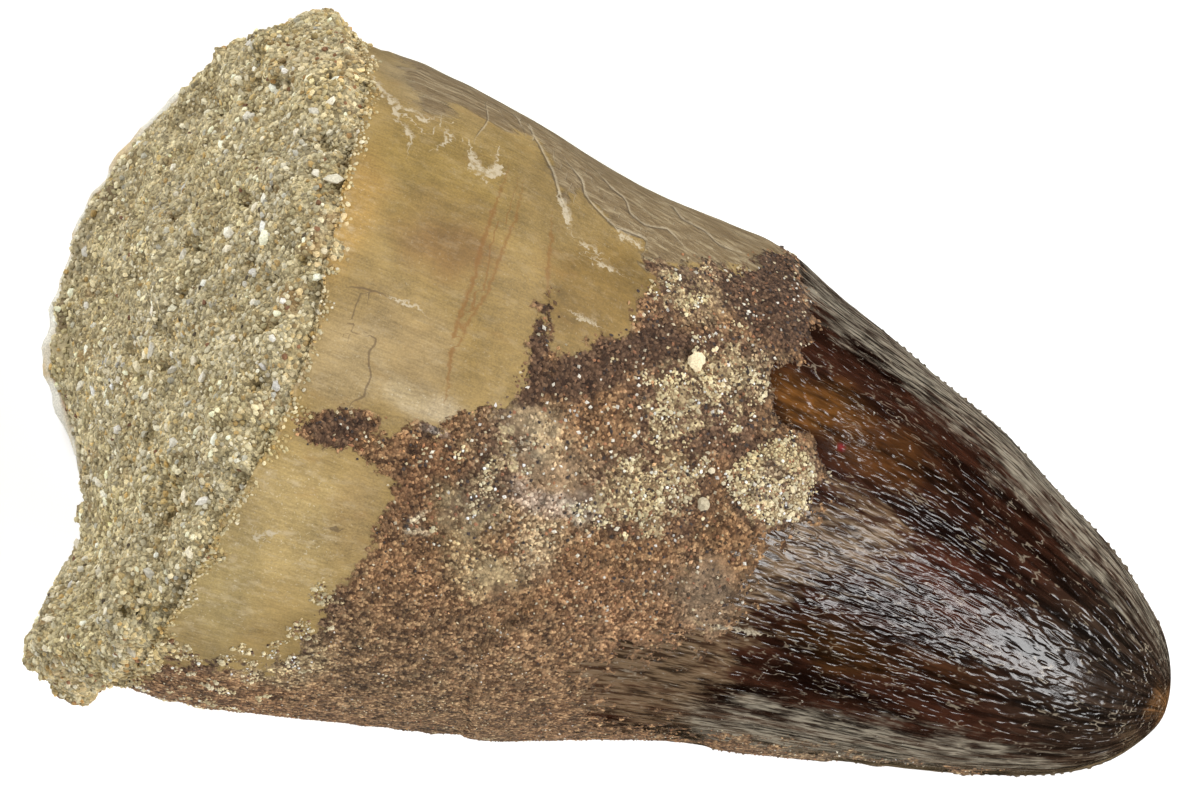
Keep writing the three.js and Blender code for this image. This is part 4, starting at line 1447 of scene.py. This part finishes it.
@dataclass
class WallEdge:
    """The smooth pale edge of the wall, where it shows beside the sand."""

    steps: int = 256
    sides: int = 14
    pale: Colour = (0.8, 0.77, 0.67)
    tan: Colour = (0.66, 0.52, 0.31)
    line: Colour = (0.46, 0.24, 0.08)

    def build(self) -> Object:
        """Bends a ring along the wall's end, thick where the edge shows and sunk where it doesn't."""
        clear_selection()
        bpy.ops.mesh.primitive_torus_add(
            major_segments=self.steps, minor_segments=self.sides, major_radius=1.0, minor_radius=0.25,
        )
        edge = bpy.context.object
        edge.name = edge.data.name = "wall_edge"
        ring = read_points(edge.data)
        angle = np.arctan2(ring[:, 1], ring[:, 0]) % math.tau
        roll = np.arctan2(ring[:, 2], np.hypot(ring[:, 0], ring[:, 1]) - 1.0)
        rim = FORM.rim_x(angle)
        bare = FORM.point(rim, angle)
        radius = SmoothCurve(WALL_EDGE_RADII).at(bare[:, 1])[:, 0] * FORM.wall_share(angle)
        radius = np.maximum(radius * (1.0 + 0.5 * NOISE.layered(bare, 2.2, 3, 61.0)), 0.02)
        sunk = 1.0 - ease(radius, 0.04, 0.14)
        middle = FORM.point(rim + 0.9 * sunk, angle, -0.8 * radius - 0.5 * sunk)
        outward = FORM.point(rim, angle, 1.0) - bare
        swells = NOISE.layered(bare + 0.6 * outward * np.cos(roll)[:, None], 0.8, 3, 63.0)
        lumpy = radius * (1.0 + 0.22 * swells)
        points = middle + (lumpy * np.cos(roll))[:, None] * outward
        points[:, 0] -= lumpy * np.sin(roll)
        points[:, 2] = np.maximum(points[:, 2], 0.0)
        move_points(edge.data, points * MM)
        bpy.ops.object.shade_smooth()
        stained = np.sin(roll) + 0.5 * NOISE.layered(points, 1.0, 3, 65.0)
        blotch = ease(NOISE.layered(points, 1.3, 4, 67.0), 0.0, 0.5)[:, None]
        tone = blend(np.array(self.pale), self.tan, blotch)
        tone = blend(tone, self.line, (1.0 - ease(stained, -0.25, 0.15))[:, None])
        store_colour(edge.data, "tone", tone)
        edge.data.materials.append(GrainFinish("wall_edge_finish").material())
        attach(edge, "root")
        return edge


# ---- The rock ----

@dataclass
class Rock:
    """The cemented sand that fills the broken base, under its loose-looking grains."""

    voxel: float = 0.24
    swells: tuple[tuple[float, float], ...] = ((3.2, 0.34), (1.4, 0.32), (0.6, 0.22))
    pit_depth: float = 2.2
    root_reach: float = 1.3
    root_share: float = 0.985
    finish: RockFinish = field(default_factory=RockFinish)

    def build(self) -> Object:
        """Makes the rock from the frame's solid, with a close and uneven surface."""
        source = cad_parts["sand_matrix"]
        rock = bpy.data.objects.new("rock", source.data.copy())
        rock.data.name = "rock"
        rock.data.materials.clear()
        bpy.context.scene.collection.objects.link(rock)
        select_only(rock)
        bpy.ops.object.mode_set(mode="EDIT")
        bpy.ops.mesh.select_all(action="SELECT")
        bpy.ops.mesh.remove_doubles(threshold=0.01 * MM)
        bpy.ops.object.mode_set(mode="OBJECT")
        remesh = rock.modifiers.new("close_skin", "REMESH")
        remesh.mode = "VOXEL"
        remesh.voxel_size = self.voxel * MM
        bpy.ops.object.modifier_apply(modifier=remesh.name)
        smooth = rock.modifiers.new("worn", "SMOOTH")
        smooth.factor = 0.5
        smooth.iterations = 4
        bpy.ops.object.modifier_apply(modifier=smooth.name)
        points = read_points(rock.data) / MM
        normals = read_normals(rock.data)
        rough = sum(height * NOISE.at(points, pitch, 2.0) for pitch, height in self.swells)
        pits = np.maximum(NOISE.layered(points, 1.9, 2, 17.0) - 0.25, 0.0)
        points += normals * (rough - self.pit_depth * pits)[:, None]
        points = self._rooted(points, normals)
        points[:, 2] = np.maximum(points[:, 2], 0.02)
        move_points(rock.data, points * MM)
        bpy.ops.object.shade_smooth()
        rock.data.materials.append(self.finish.material())
        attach(rock, "root")
        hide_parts("sand_matrix")
        return rock

    def _rooted(self, points: Array, normals: Array) -> Array:
        """Pushes the rock's hidden side into the crown, and keeps it under the crown's outside."""
        inner = ease(normals[:, 0], 0.0, 0.5)
        points = points + np.array([self.root_reach, 0.0, 0.0]) * inner[:, None]
        section = FORM.section(points[:, 0])
        y = (points[:, 1] - section.y) / section.half_width
        z = (points[:, 2] - section.z) / np.where(points[:, 2] > section.z, section.up, section.down)
        reach = np.hypot(y, z)
        near = ease(points[:, 0] - FORM.near_x(points[:, 1]), -0.9, -0.2)
        shrink = blend(1.0, np.minimum(1.0, self.root_share / np.maximum(reach, 0.1)), near)
        points[:, 1] = section.y + (points[:, 1] - section.y) * shrink
        points[:, 2] = section.z + (points[:, 2] - section.z) * shrink
        return points


# ---- Grains ----

@dataclass(frozen=True)
class GrainKind:
    """One kind of grain: how common it is, its size, how long it is for its width, and its colours."""

    share: float
    size: tuple[float, float]
    length: tuple[float, float]
    colours: tuple[Colour, ...]


SAND_KINDS = (
    GrainKind(0.46, (0.18, 0.36), (1, 1.5), ((0.56, 0.49, 0.3), (0.63, 0.55, 0.35), (0.5, 0.43, 0.25))),
    GrainKind(0.2, (0.18, 0.32), (1, 1.4), ((0.4, 0.33, 0.18), (0.33, 0.27, 0.14), (0.42, 0.37, 0.25))),
    GrainKind(0.2, (0.2, 0.38), (1, 1.6), ((0.78, 0.71, 0.5), (0.72, 0.62, 0.38))),
    GrainKind(0.07, (0.22, 0.36), (1, 1.5), ((0.6, 0.45, 0.2), (0.5, 0.34, 0.13))),
    GrainKind(0.03, (0.24, 0.4), (1, 1.4), ((0.62, 0.59, 0.47), (0.5, 0.47, 0.37))),
    GrainKind(0.025, (0.32, 0.6), (1, 1.9), ((0.84, 0.79, 0.66), (0.8, 0.72, 0.53))),
    GrainKind(0.015, (0.2, 0.32), (1, 1.2), ((0.2, 0.1, 0.055), (0.1, 0.075, 0.045))),
)
TAN_KINDS = (
    GrainKind(0.5, (0.2, 0.38), (1, 1.5), ((0.54, 0.42, 0.21), (0.47, 0.36, 0.165), (0.6, 0.49, 0.28))),
    GrainKind(0.25, (0.2, 0.34), (1, 1.4), ((0.38, 0.28, 0.125), (0.3, 0.21, 0.09))),
    GrainKind(0.16, (0.22, 0.4), (1, 1.5), ((0.68, 0.58, 0.36), (0.64, 0.49, 0.25))),
    GrainKind(0.09, (0.2, 0.36), (1, 1.4), ((0.5, 0.29, 0.1), (0.24, 0.12, 0.055))),
)
CREAM_KINDS = (
    GrainKind(0.66, (0.08, 0.17), (1, 1.6), (
        (0.52, 0.42, 0.245), (0.45, 0.345, 0.19), (0.62, 0.525, 0.33),
    )),
    GrainKind(0.13, (0.17, 0.28), (1, 1.6), ((0.58, 0.485, 0.29), (0.64, 0.555, 0.36))),
    GrainKind(0.08, (0.1, 0.2), (1, 1.2), ((0.8, 0.78, 0.7),)),
    GrainKind(0.13, (0.1, 0.2), (1, 1.3), ((0.28, 0.17, 0.09), (0.12, 0.07, 0.045))),
)
SEAM_KINDS = (
    GrainKind(0.6, (0.12, 0.24), (1, 1.5), ((0.52, 0.44, 0.25), (0.58, 0.49, 0.29), (0.46, 0.36, 0.18))),
    GrainKind(0.25, (0.12, 0.22), (1, 1.4), ((0.4, 0.3, 0.14), (0.46, 0.31, 0.12))),
    GrainKind(0.15, (0.14, 0.26), (1, 1.5), ((0.7, 0.62, 0.43), (0.6, 0.51, 0.31))),
)
FINE_KINDS = (
    GrainKind(0.55, (0.12, 0.23), (1, 1.4), (
        (0.54, 0.46, 0.275), (0.6, 0.52, 0.33), (0.47, 0.39, 0.215),
    )),
    GrainKind(0.25, (0.12, 0.2), (1, 1.4), ((0.34, 0.28, 0.145), (0.28, 0.22, 0.11))),
    GrainKind(0.2, (0.12, 0.22), (1, 1.5), ((0.76, 0.69, 0.5), (0.62, 0.48, 0.24))),
)


@dataclass(frozen=True)
class Bed:
    """A surface that grains can lie on: its triangles' corners and normals, in millimetres."""

    triangles: Array
    corners: Array
    normals: Array
    areas: Array

    @classmethod
    def of(cls, thing: Object) -> "Bed":
        """Reads a bed from a mesh object."""
        triangles = read_triangles(thing.data)
        corners = read_points(thing.data)[triangles] / MM
        cross = np.cross(corners[:, 1] - corners[:, 0], corners[:, 2] - corners[:, 0])
        length = np.linalg.norm(cross, axis=1)
        return cls(triangles, corners, cross / np.maximum(length, 1e-12)[:, None], length / 2)

    def corner_numbers(self, thing: Object, name: str) -> Array:
        """Returns the mean over each triangle of a number that the mesh stores."""
        return read_stored(thing.data, name)[self.triangles].mean(axis=1)

    def open_air(self, cover: Object) -> Array:
        """Returns 1 for each triangle that the other object doesn't cover, and 0 for the rest."""
        shell = BVHTree.FromPolygons(read_points(cover.data).tolist(), read_triangles(cover.data).tolist())
        clear = np.ones(len(self.corners))
        for index, (middle, normal) in enumerate(zip(self.corners.mean(axis=1) * MM, self.normals)):
            way = Vector(normal)
            if shell.ray_cast(Vector(middle) + way * 0.02 * MM, way, 3.0 * MM)[0] is not None:
                clear[index] = 0.0
        return clear

    def darts(self, rng: np.random.Generator, weight: Array, tries: int,
              gap: float) -> tuple[Array, Array, Array]:
        """Throws darts at the bed and keeps those that land clear of the ones before.

        Args:
            rng: The seeded source of chance.
            weight: How likely a dart is to land on each triangle, by area.
            tries: How many darts are thrown.
            gap: The least distance between two that are kept.

        Returns:
            The places kept, the surface's normals there and the triangles that they lie on.
        """
        odds = self.areas * weight
        picks = rng.choice(len(odds), size=tries, p=odds / odds.sum())
        u, v = rng.random((2, tries))
        over = u + v > 1.0
        u, v = np.where(over, 1.0 - u, u), np.where(over, 1.0 - v, v)
        a, b, c = self.corners[picks].transpose(1, 0, 2)
        places = a + (b - a) * u[:, None] + (c - a) * v[:, None]
        cells: dict[tuple[int, int, int], list[int]] = {}
        kept: list[int] = []
        keys = np.floor(places / gap).astype(int).tolist()
        rows = places.tolist()
        least = gap * gap
        ways = list(itertools.product((-1, 0, 1), repeat=3))
        for index, ((i, j, k), (px, py, pz)) in enumerate(zip(keys, rows)):
            near = (rows[one] for di, dj, dk in ways for one in cells.get((i + di, j + dj, k + dk), ()))
            if all((px - qx) ** 2 + (py - qy) ** 2 + (pz - qz) ** 2 >= least for qx, qy, qz in near):
                cells.setdefault((i, j, k), []).append(index)
                kept.append(index)
        return places[kept], self.normals[picks[kept]], picks[kept]


class Bead(Enum):
    """The shapes that grains are copied from, by how closely they are seen."""

    SPECK = "speck"
    FACETED = "faceted"
    ROUND = "round"

    def shape(self) -> tuple[Array, Array]:
        """Returns the bead's vertices, one across, and its triangles."""
        if self is Bead.SPECK:
            shape = 0.5 * np.concatenate([np.eye(3), -np.eye(3)])
            sides = itertools.product((0, 3), (1, 4), (2, 5))
            return shape, np.array([(x, y, z) if (x + y + z) % 2 else (x, z, y) for x, y, z in sides])
        clear_selection()
        bpy.ops.mesh.primitive_ico_sphere_add(subdivisions=2 if self is Bead.ROUND else 1, radius=0.5)
        bead = bpy.context.object
        shape = read_points(bead.data)
        faces = read_triangles(bead.data)
        bpy.data.objects.remove(bead)
        return shape, faces


@dataclass
class Grains:
    """Many grains joined in one mesh, each a small faceted bead half sunk in what carries it."""

    name: str
    kinds: tuple[GrainKind, ...]
    slot: str
    seed: int
    sink: float = 0.46
    flat: float = 0.85
    bead: Bead = Bead.FACETED

    def build(self, places: Array, normals: Array, tint: Array | None = None,
              scale: Array | None = None) -> Object:
        """Copies the bead to every place.

        Args:
            places: Where the grains lie, in millimetres.
            normals: The surface's direction there.
            tint: Optional colours that take the place of the kinds' own.
            scale: Optional sizes that multiply the kinds' own.

        Returns:
            The joined mesh object.
        """
        rng = np.random.default_rng(self.seed)
        shape, faces = self.bead.shape()
        count = len(places)
        shares = np.array([kind.share for kind in self.kinds])
        which = rng.choice(len(self.kinds), size=count, p=shares / shares.sum())
        size, length = np.empty((2, count))
        colour = np.empty((count, 3))
        for index, kind in enumerate(self.kinds):
            mine = which == index
            total = int(mine.sum())
            size[mine] = rng.uniform(*kind.size, total)
            length[mine] = rng.uniform(*kind.length, total)
            colours = np.array(kind.colours)
            colour[mine] = colours[rng.integers(len(colours), size=total)]
        if tint is not None:
            colour = tint
        if scale is not None:
            size = size * scale
        patchy = 1.0 + 0.3 * NOISE.layered(places, 2.6, 3, 31.0)[:, None]
        golden = 0.35 * NOISE.layered(places, 3.4, 3, 29.0)[:, None] * (0.1, 0.0, -0.55)
        colour = np.clip(colour * (patchy + golden) * rng.uniform(0.72, 1.3, (count, 1)), 0.0, 0.92)
        spread = np.stack([size * length, size, size * self.flat], axis=1)
        spin = self._spins(rng, normals)
        dented = shape[None] * rng.uniform(0.72, 1.22, (count, len(shape), 1))
        points = np.einsum("nij,nvj->nvi", spin, dented * spread[:, None])
        lift = (0.5 - self.sink - 0.22 * rng.random(count)) * size * self.flat
        points = points + (places + normals * lift[:, None])[:, None]
        points[..., 2] = np.maximum(points[..., 2], 0.0)
        triangles = faces[None] + (np.arange(count) * len(shape))[:, None, None]
        grains = mesh_from(self.name, points.reshape(-1, 3) * MM, triangles.reshape(-1, 3))
        store_colour(grains.data, "tone", np.repeat(colour, len(shape), axis=0))
        grains.data.materials.append(GrainFinish(f"{self.name}_finish").material())
        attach(grains, "root")
        return grains

    def scatter(self, bed: Bed, rng: np.random.Generator, weight: Array, tries: int,
                gap: float) -> Object:
        """Throws darts at a bed and copies the bead to every place that they keep."""
        places, normals, _ = bed.darts(rng, weight, tries, gap)
        return self.build(places, normals)

    def _spins(self, rng: np.random.Generator, normals: Array) -> Array:
        """Turns each grain at random about its surface's direction, with a little tilt."""
        lean = normals + rng.normal(0.0, 0.25, normals.shape)
        lean /= np.linalg.norm(lean, axis=1, keepdims=True)
        side = rng.normal(size=normals.shape)
        side -= (side * lean).sum(axis=1, keepdims=True) * lean
        side /= np.linalg.norm(side, axis=1, keepdims=True)
        return np.stack([side, np.cross(lean, side), lean], axis=2)


@dataclass
class Sand:
    """The grains on the rock's open face, on its rim, and along the seam with the crown."""

    face_gap: float = 0.27
    face_tries: int = 30000
    fine_gap: float = 0.19
    fine_tries: int = 50000
    rim_gap: float = 0.28
    rim_tries: int = 24000
    wall_tries: int = 9000
    seam_tries: int = 6000
    seam_gap: float = 0.17

    def build(self, rock: Object, crown: Object) -> list[Object]:
        """Lays the grains on the parts of the rock that the crown leaves open."""
        bed = Bed.of(rock)
        bare = bed.open_air(crown)
        facing = ease(-bed.normals[:, 0] + 0.35 * bed.normals[:, 2], 0.15, 0.4) > 0.5
        middles = bed.corners.mean(axis=1)
        top = ease(middles[:, 1], 13.0, 16.0) * ease(middles[:, 2], 12.0, 16.0)
        rng = np.random.default_rng(5)
        on_face = bare * facing * (1.0 - top)
        on_rim = bare * np.maximum(~facing, top)
        coarse = 0.2 + 0.8 * ease(middles[:, 0] + 0.8 * NOISE.at(middles, 2.4, 33.0), -26.0, -21.5)
        face = Grains("face_grains", SAND_KINDS, "sandy_rock", 11)
        fines = Grains("face_fines", FINE_KINDS, "sandy_rock", 15, bead=Bead.SPECK)
        rim = Grains("rim_grains", TAN_KINDS, "sandy_rock", 12)
        pieces = [
            face.scatter(bed, rng, on_face * coarse, self.face_tries, self.face_gap),
            fines.scatter(bed, rng, on_face, self.fine_tries, self.fine_gap),
            rim.scatter(bed, rng, on_rim, self.rim_tries, self.rim_gap),
        ]

        bed = Bed.of(crown)
        depth = bed.corner_numbers(crown, "wall_end")
        pieces.append(self._seam(rng, bed, bed.corner_numbers(crown, "from_break"), depth))
        on_wall = bed.open_air(rock) * ease(depth, 0.55, 0.85) * (bed.normals[:, 0] < -0.2) + 1e-9
        for name, kinds, bead, gap in (
            ("wall_grains", SAND_KINDS, Bead.FACETED, self.face_gap),
            ("wall_fines", FINE_KINDS, Bead.SPECK, self.fine_gap),
        ):
            grains = Grains(name, kinds, "sandy_rock", 17, 0.28, bead=bead)
            pieces.append(grains.scatter(bed, rng, on_wall, self.wall_tries, gap))
        return pieces

    def _seam(self, rng: np.random.Generator, bed: Bed, away: Array, depth: Array) -> Object:
        """Scatters grains over the crown's broken edge, so that the sand laps onto it.

        Args:
            rng: The seeded source of chance.
            bed: The crown's surface.
            away: How far each of its triangles lies from the break.
            depth: How far each lies in across the wall's end.

        Returns:
            The joined mesh object.
        """
        middles = bed.corners.mean(axis=1)
        reach = 0.45 + 0.9 * NOISE.layered(middles, 1.6, 3, 51.0)
        open_side = (bed.normals[:, 2] > 0.1) | ((bed.normals[:, 0] < -0.2) & (middles[:, 2] > 4.0))
        lapped = (1.0 - ease(away - np.maximum(reach, 0.1), -0.45, 0.15)) * (away < 3.0)
        lapped = lapped * (depth < 0.9 * FORM.BREAK_LIP) * open_side
        grains = Grains("seam_grains", SEAM_KINDS, "sandy_rock", 23, 0.32)
        return grains.scatter(bed, rng, lapped + 1e-12, self.seam_tries, self.seam_gap)


@dataclass
class CrustGrains:
    """The grains and cream nodules that stand out of the crown's crust."""

    gap: float = 0.17
    tries: int = 34000
    cream_gap: float = 0.12
    cream_tries: int = 26000
    # Middle and size of each large nodule, in plan.
    big_nodules: tuple[tuple[float, float, float], ...] = (
        (1.7, 8.4, 0.85), (4.4, 1.8, 0.62), (4.3, 3.6, 0.36),
    )
    nodule: Colour = (0.66, 0.56, 0.37)
    # How bright the grains are against the crust under them, and how common each is.
    bright: tuple[float, ...] = (0.45, 0.8, 1.15, 1.6, 2.4)
    bright_odds: tuple[float, ...] = (0.22, 0.33, 0.27, 0.13, 0.05)
    # The few grains of other colours, and how common the crust's own and each of these are.
    strange: tuple[Colour, ...] = (
        (0.5, 0.42, 0.28), (0.055, 0.04, 0.035), (0.3, 0.14, 0.07), (0.62, 0.58, 0.5),
    )
    strange_odds: tuple[float, ...] = (0.7, 0.09, 0.1, 0.07, 0.04)

    def build(self, crown: Object) -> list[Object]:
        """Lays the grains where the crown carries crust, and nodules where it is cream."""
        bed = Bed.of(crown)
        cover = {patch: bed.corner_numbers(crown, patch.value) for patch in Patch}
        tone = read_stored(crown.data, "crust_tone", 4)[:, :3][bed.triangles].mean(axis=1)
        middles = bed.corners.mean(axis=1)
        rng = np.random.default_rng(6)
        purple = ease(cover[Patch.PURPLE], -0.3, 0.3)
        tone = blend(tone, np.array(CrownFinish.purple) * 1.3, purple[:, None])

        patchy = ease(NOISE.layered(middles, 1.6, 3, 15.0), -0.2, 0.4)
        patchy = patchy * (1.0 - 0.85 * ease(cover[Patch.SMEAR], -0.1, 0.4))
        stray = cover[Patch.CRUST] + 0.8 * NOISE.layered(middles, 0.9, 3, 35.0)
        coarse = ease(plan_of(middles)[:, 1] + 2.0 * NOISE.layered(middles, 3.0, 2, 37.0), -7.5, -3.5)
        thin = 1.0 - 0.6 * ease(cover[Patch.FILM], -0.8, 0.8)
        on_crust = ease(stray, -0.3, 0.6) * (0.12 + 0.88 * patchy) * (0.5 + 0.5 * coarse) * thin + 1e-9
        places, normals, picks = bed.darts(rng, on_crust, self.tries, self.gap)
        bright = rng.choice(self.bright, (len(places), 1), p=self.bright_odds)
        odd = rng.choice(len(self.strange_odds), len(places), p=self.strange_odds)
        tint = np.where((odd > 0)[:, None], np.array(self.strange)[odd - 1], tone[picks] * bright)
        small = GrainKind(1.0, (0.1, 0.22), (1, 1.5), (CRUST_GROUND,))
        brown = Grains("crust_grains", (small,), "enamel_and_dentine", 13, 0.4, bead=Bead.SPECK)
        size = blend(0.66, 1.12, coarse[picks])
        pieces = [brown.build(places, normals, np.clip(tint, 0.0, 0.8), size)]

        clumps = NOISE.layered(middles, 1.1, 3, 21.0)
        corner = 1.0 - ease(middles[:, 0], -12.0, -10.0)
        from_ring = np.hypot(*(plan_of(middles) - RING_CLUMP[:2]).T)
        near_ring = 1.0 - ease(from_ring, 1.9, 2.4)
        favoured = 1.3 * corner + 1.6 * near_ring - 0.5
        on_cream = ease(cover[Patch.CREAM] + 5.5 * clumps + favoured, 1.2, 2.4)
        on_cream = on_cream * (cover[Patch.CRUST] > -0.2 - 0.8 * corner)
        on_cream = on_cream * (1.0 - 0.75 * purple) + 1e-9
        cream = Grains("cream_grains", CREAM_KINDS, "enamel_and_dentine", 14, 0.36)
        pieces.append(cream.scatter(bed, rng, on_cream, self.cream_tries, self.cream_gap))
        pieces.append(self._nodules(bed, middles))
        return pieces

    def _nodules(self, bed: Bed, middles: Array) -> Object:
        """Sets the few large cream nodules in their places."""
        plan = plan_of(middles)
        spots = []
        for x, y, _ in self.big_nodules:
            away = np.hypot(plan[:, 0] - x, plan[:, 1] - y) + 9.0 * (bed.normals[:, 2] < 0.0)
            spots.append(int(np.argmin(away)))
        kind = GrainKind(1.0, (1, 1), (1, 1.2), (self.nodule,))
        nodules = Grains("cream_nodules", (kind,), "enamel_and_dentine", 16, 0.22, bead=Bead.ROUND)
        sizes = np.array([size for _, _, size in self.big_nodules])
        return nodules.build(middles[spots], bed.normals[spots], scale=sizes)


@dataclass
class Keels:
    """The row of fine serrations along each cutting edge."""

    pitch: float = 0.42
    size: tuple[float, float] = (0.3, 0.38)
    front: tuple[float, float] = (21.0, 28.4)
    back: tuple[float, float] = (10.0, 28.4)
    colour: Colour = (0.105, 0.078, 0.046)

    def build(self, crown: Object) -> Object:
        """Sets the serrations along the crown's two edges."""
        points = read_points(crown.data) / MM
        normals = read_normals(crown.data)
        flow = read_stored(crown.data, "flow", 3)
        level = (np.abs(flow[:, 2]) < 0.01) & (normals[:, 0] > -0.5)
        places, ways = [], []
        for side, (start, end) in ((1.0, self.front), (-1.0, self.back)):
            mine = np.flatnonzero(level & (flow[:, 1] * side < 0.0))
            mine = mine[np.argsort(points[mine, 0])]
            along = np.arange(start, end, self.pitch)
            for source, rows in ((points, places), (normals, ways)):
                parts = [np.interp(along, points[mine, 0], part) for part in source[mine].T]
                rows.append(np.stack(parts, axis=1))
        kind = GrainKind(1.0, self.size, (1, 1.15), (self.colour,))
        teeth = Grains("keel_serrations", (kind,), "enamel_and_dentine", 18, 0.66, 0.9)
        return teeth.build(np.concatenate(places), np.concatenate(ways))


@dataclass(frozen=True)
class Softbox:
    """A soft lamp: where it stands, where it points, how wide it is and how strong."""

    name: str
    at: tuple[float, float, float]
    width: float
    height: float
    power: float


@dataclass
class Studio:
    """A plain pale floor, soft light all round and the camera overhead."""

    overhead: float = 0.08
    around: float = 0.36
    bounces: int = 5
    soft_bounces: int = 2
    boxes: tuple[Softbox, ...] = (
        Softbox("tip_side_low", (0.7, -0.05, 0.35), 0.3, 0.3, 3.6),
        Softbox("tip_side_high", (0.5, -0.12, 0.56), 0.2, 0.2, 2.0),
        Softbox("base_side", (-0.48, 0.52, 0.42), 0.26, 0.26, 4.3),
        Softbox("back_side", (0.3, 0.6, 0.5), 0.22, 0.2, 1.9),
        Softbox("front_side", (-0.3, -0.55, 0.5), 0.26, 0.26, 2.3),
    )

    def build(self) -> None:
        """Sets up the floor, the lights and the camera."""
        scene = bpy.context.scene
        scene.view_settings.view_transform = "Standard"
        clear_selection()
        bpy.ops.mesh.primitive_plane_add(size=4.0, location=(0.0, 0.0, 0.0))
        floor = bpy.context.object
        floor.name = "floor"
        floor.data.materials.append(FloorFinish().material())
        floor.visible_glossy = False
        floor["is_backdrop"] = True
        scene.world = self._room()
        scene.world.cycles_visibility.glossy = False
        scene.cycles.max_bounces = self.bounces
        scene.cycles.diffuse_bounces = self.soft_bounces
        scene.cycles.glossy_bounces = self.soft_bounces
        for box in self.boxes:
            self._lamp(box)
        self._camera()

    def _room(self) -> World:
        """Makes the light all round: soft walls, and a dimmer ceiling."""
        world = bpy.data.worlds.new("soft_room")
        world.use_nodes = True
        tree = world.node_tree
        way = tree.nodes.new("ShaderNodeTexCoord")
        split = tree.nodes.new("ShaderNodeSeparateXYZ")
        fade = tree.nodes.new("ShaderNodeMapRange")
        tree.links.new(way.outputs["Generated"], split.inputs["Vector"])
        tree.links.new(split.outputs["Z"], fade.inputs["Value"])
        fade.inputs["From Min"].default_value = 0.02
        fade.inputs["From Max"].default_value = 0.3
        fade.inputs["To Min"].default_value = self.around
        fade.inputs["To Max"].default_value = self.overhead
        tree.links.new(fade.outputs["Result"], tree.nodes["Background"].inputs["Strength"])
        tree.nodes["Background"].inputs["Color"].default_value = (1.0, 1.0, 1.0, 1.0)
        return world

    def _lamp(self, box: Softbox) -> None:
        """Hangs one soft lamp that faces the tooth."""
        data = bpy.data.lights.new(box.name, "AREA")
        data.shape = "RECTANGLE"
        data.size = box.width
        data.size_y = box.height
        data.energy = box.power
        lamp = bpy.data.objects.new(box.name, data)
        lamp.location = box.at
        aim = Vector((0.0, 0.0, VIEW_HEIGHT * MM)) - Vector(box.at)
        lamp.rotation_euler = aim.to_track_quat("-Z", "Y").to_euler()
        bpy.context.scene.collection.objects.link(lamp)

    def _camera(self) -> None:
        """Hangs the camera straight above the tooth, turned with it."""
        data = bpy.data.cameras.new("overhead")
        data.sensor_width = 36.0
        data.lens = data.sensor_width * VIEW_DISTANCE / VIEW_WIDTH
        data.clip_start = 0.01
        data.clip_end = 20.0
        camera = bpy.data.objects.new("overhead", data)
        camera.location = (VIEW_MIDDLE[0] * MM, VIEW_MIDDLE[1] * MM, (VIEW_HEIGHT + VIEW_DISTANCE) * MM)
        camera.rotation_euler = (0.0, 0.0, math.radians(VIEW_TURN))
        bpy.context.scene.collection.objects.link(camera)
        bpy.context.scene.camera = camera


def write_sizes() -> None:
    """Reads the frame's box and the dressed tooth's box into rows, which nothing uses."""
    boxes = {"cad": CAD_BOX, "visual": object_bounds()}
    rows = {name: [[float(value) for value in corner] for corner in box] for name, box in boxes.items()}


def main() -> None:
    """Builds the tooth piece by piece and sets it under the lights."""
    Studio().build()
    crown = Crown().build()
    LOG.info("crown: %d vertices", len(crown.data.vertices))
    rock = Rock().build()
    LOG.info("rock: %d vertices", len(rock.data.vertices))
    grains = [*Sand().build(rock, crown), *CrustGrains().build(crown), Keels().build(crown)]
    for piece in [WallEdge().build(), *grains]:
        LOG.info("%s: %d vertices", piece.name, len(piece.data.vertices))
    write_sizes()


if __name__ == "__main__":
    main()
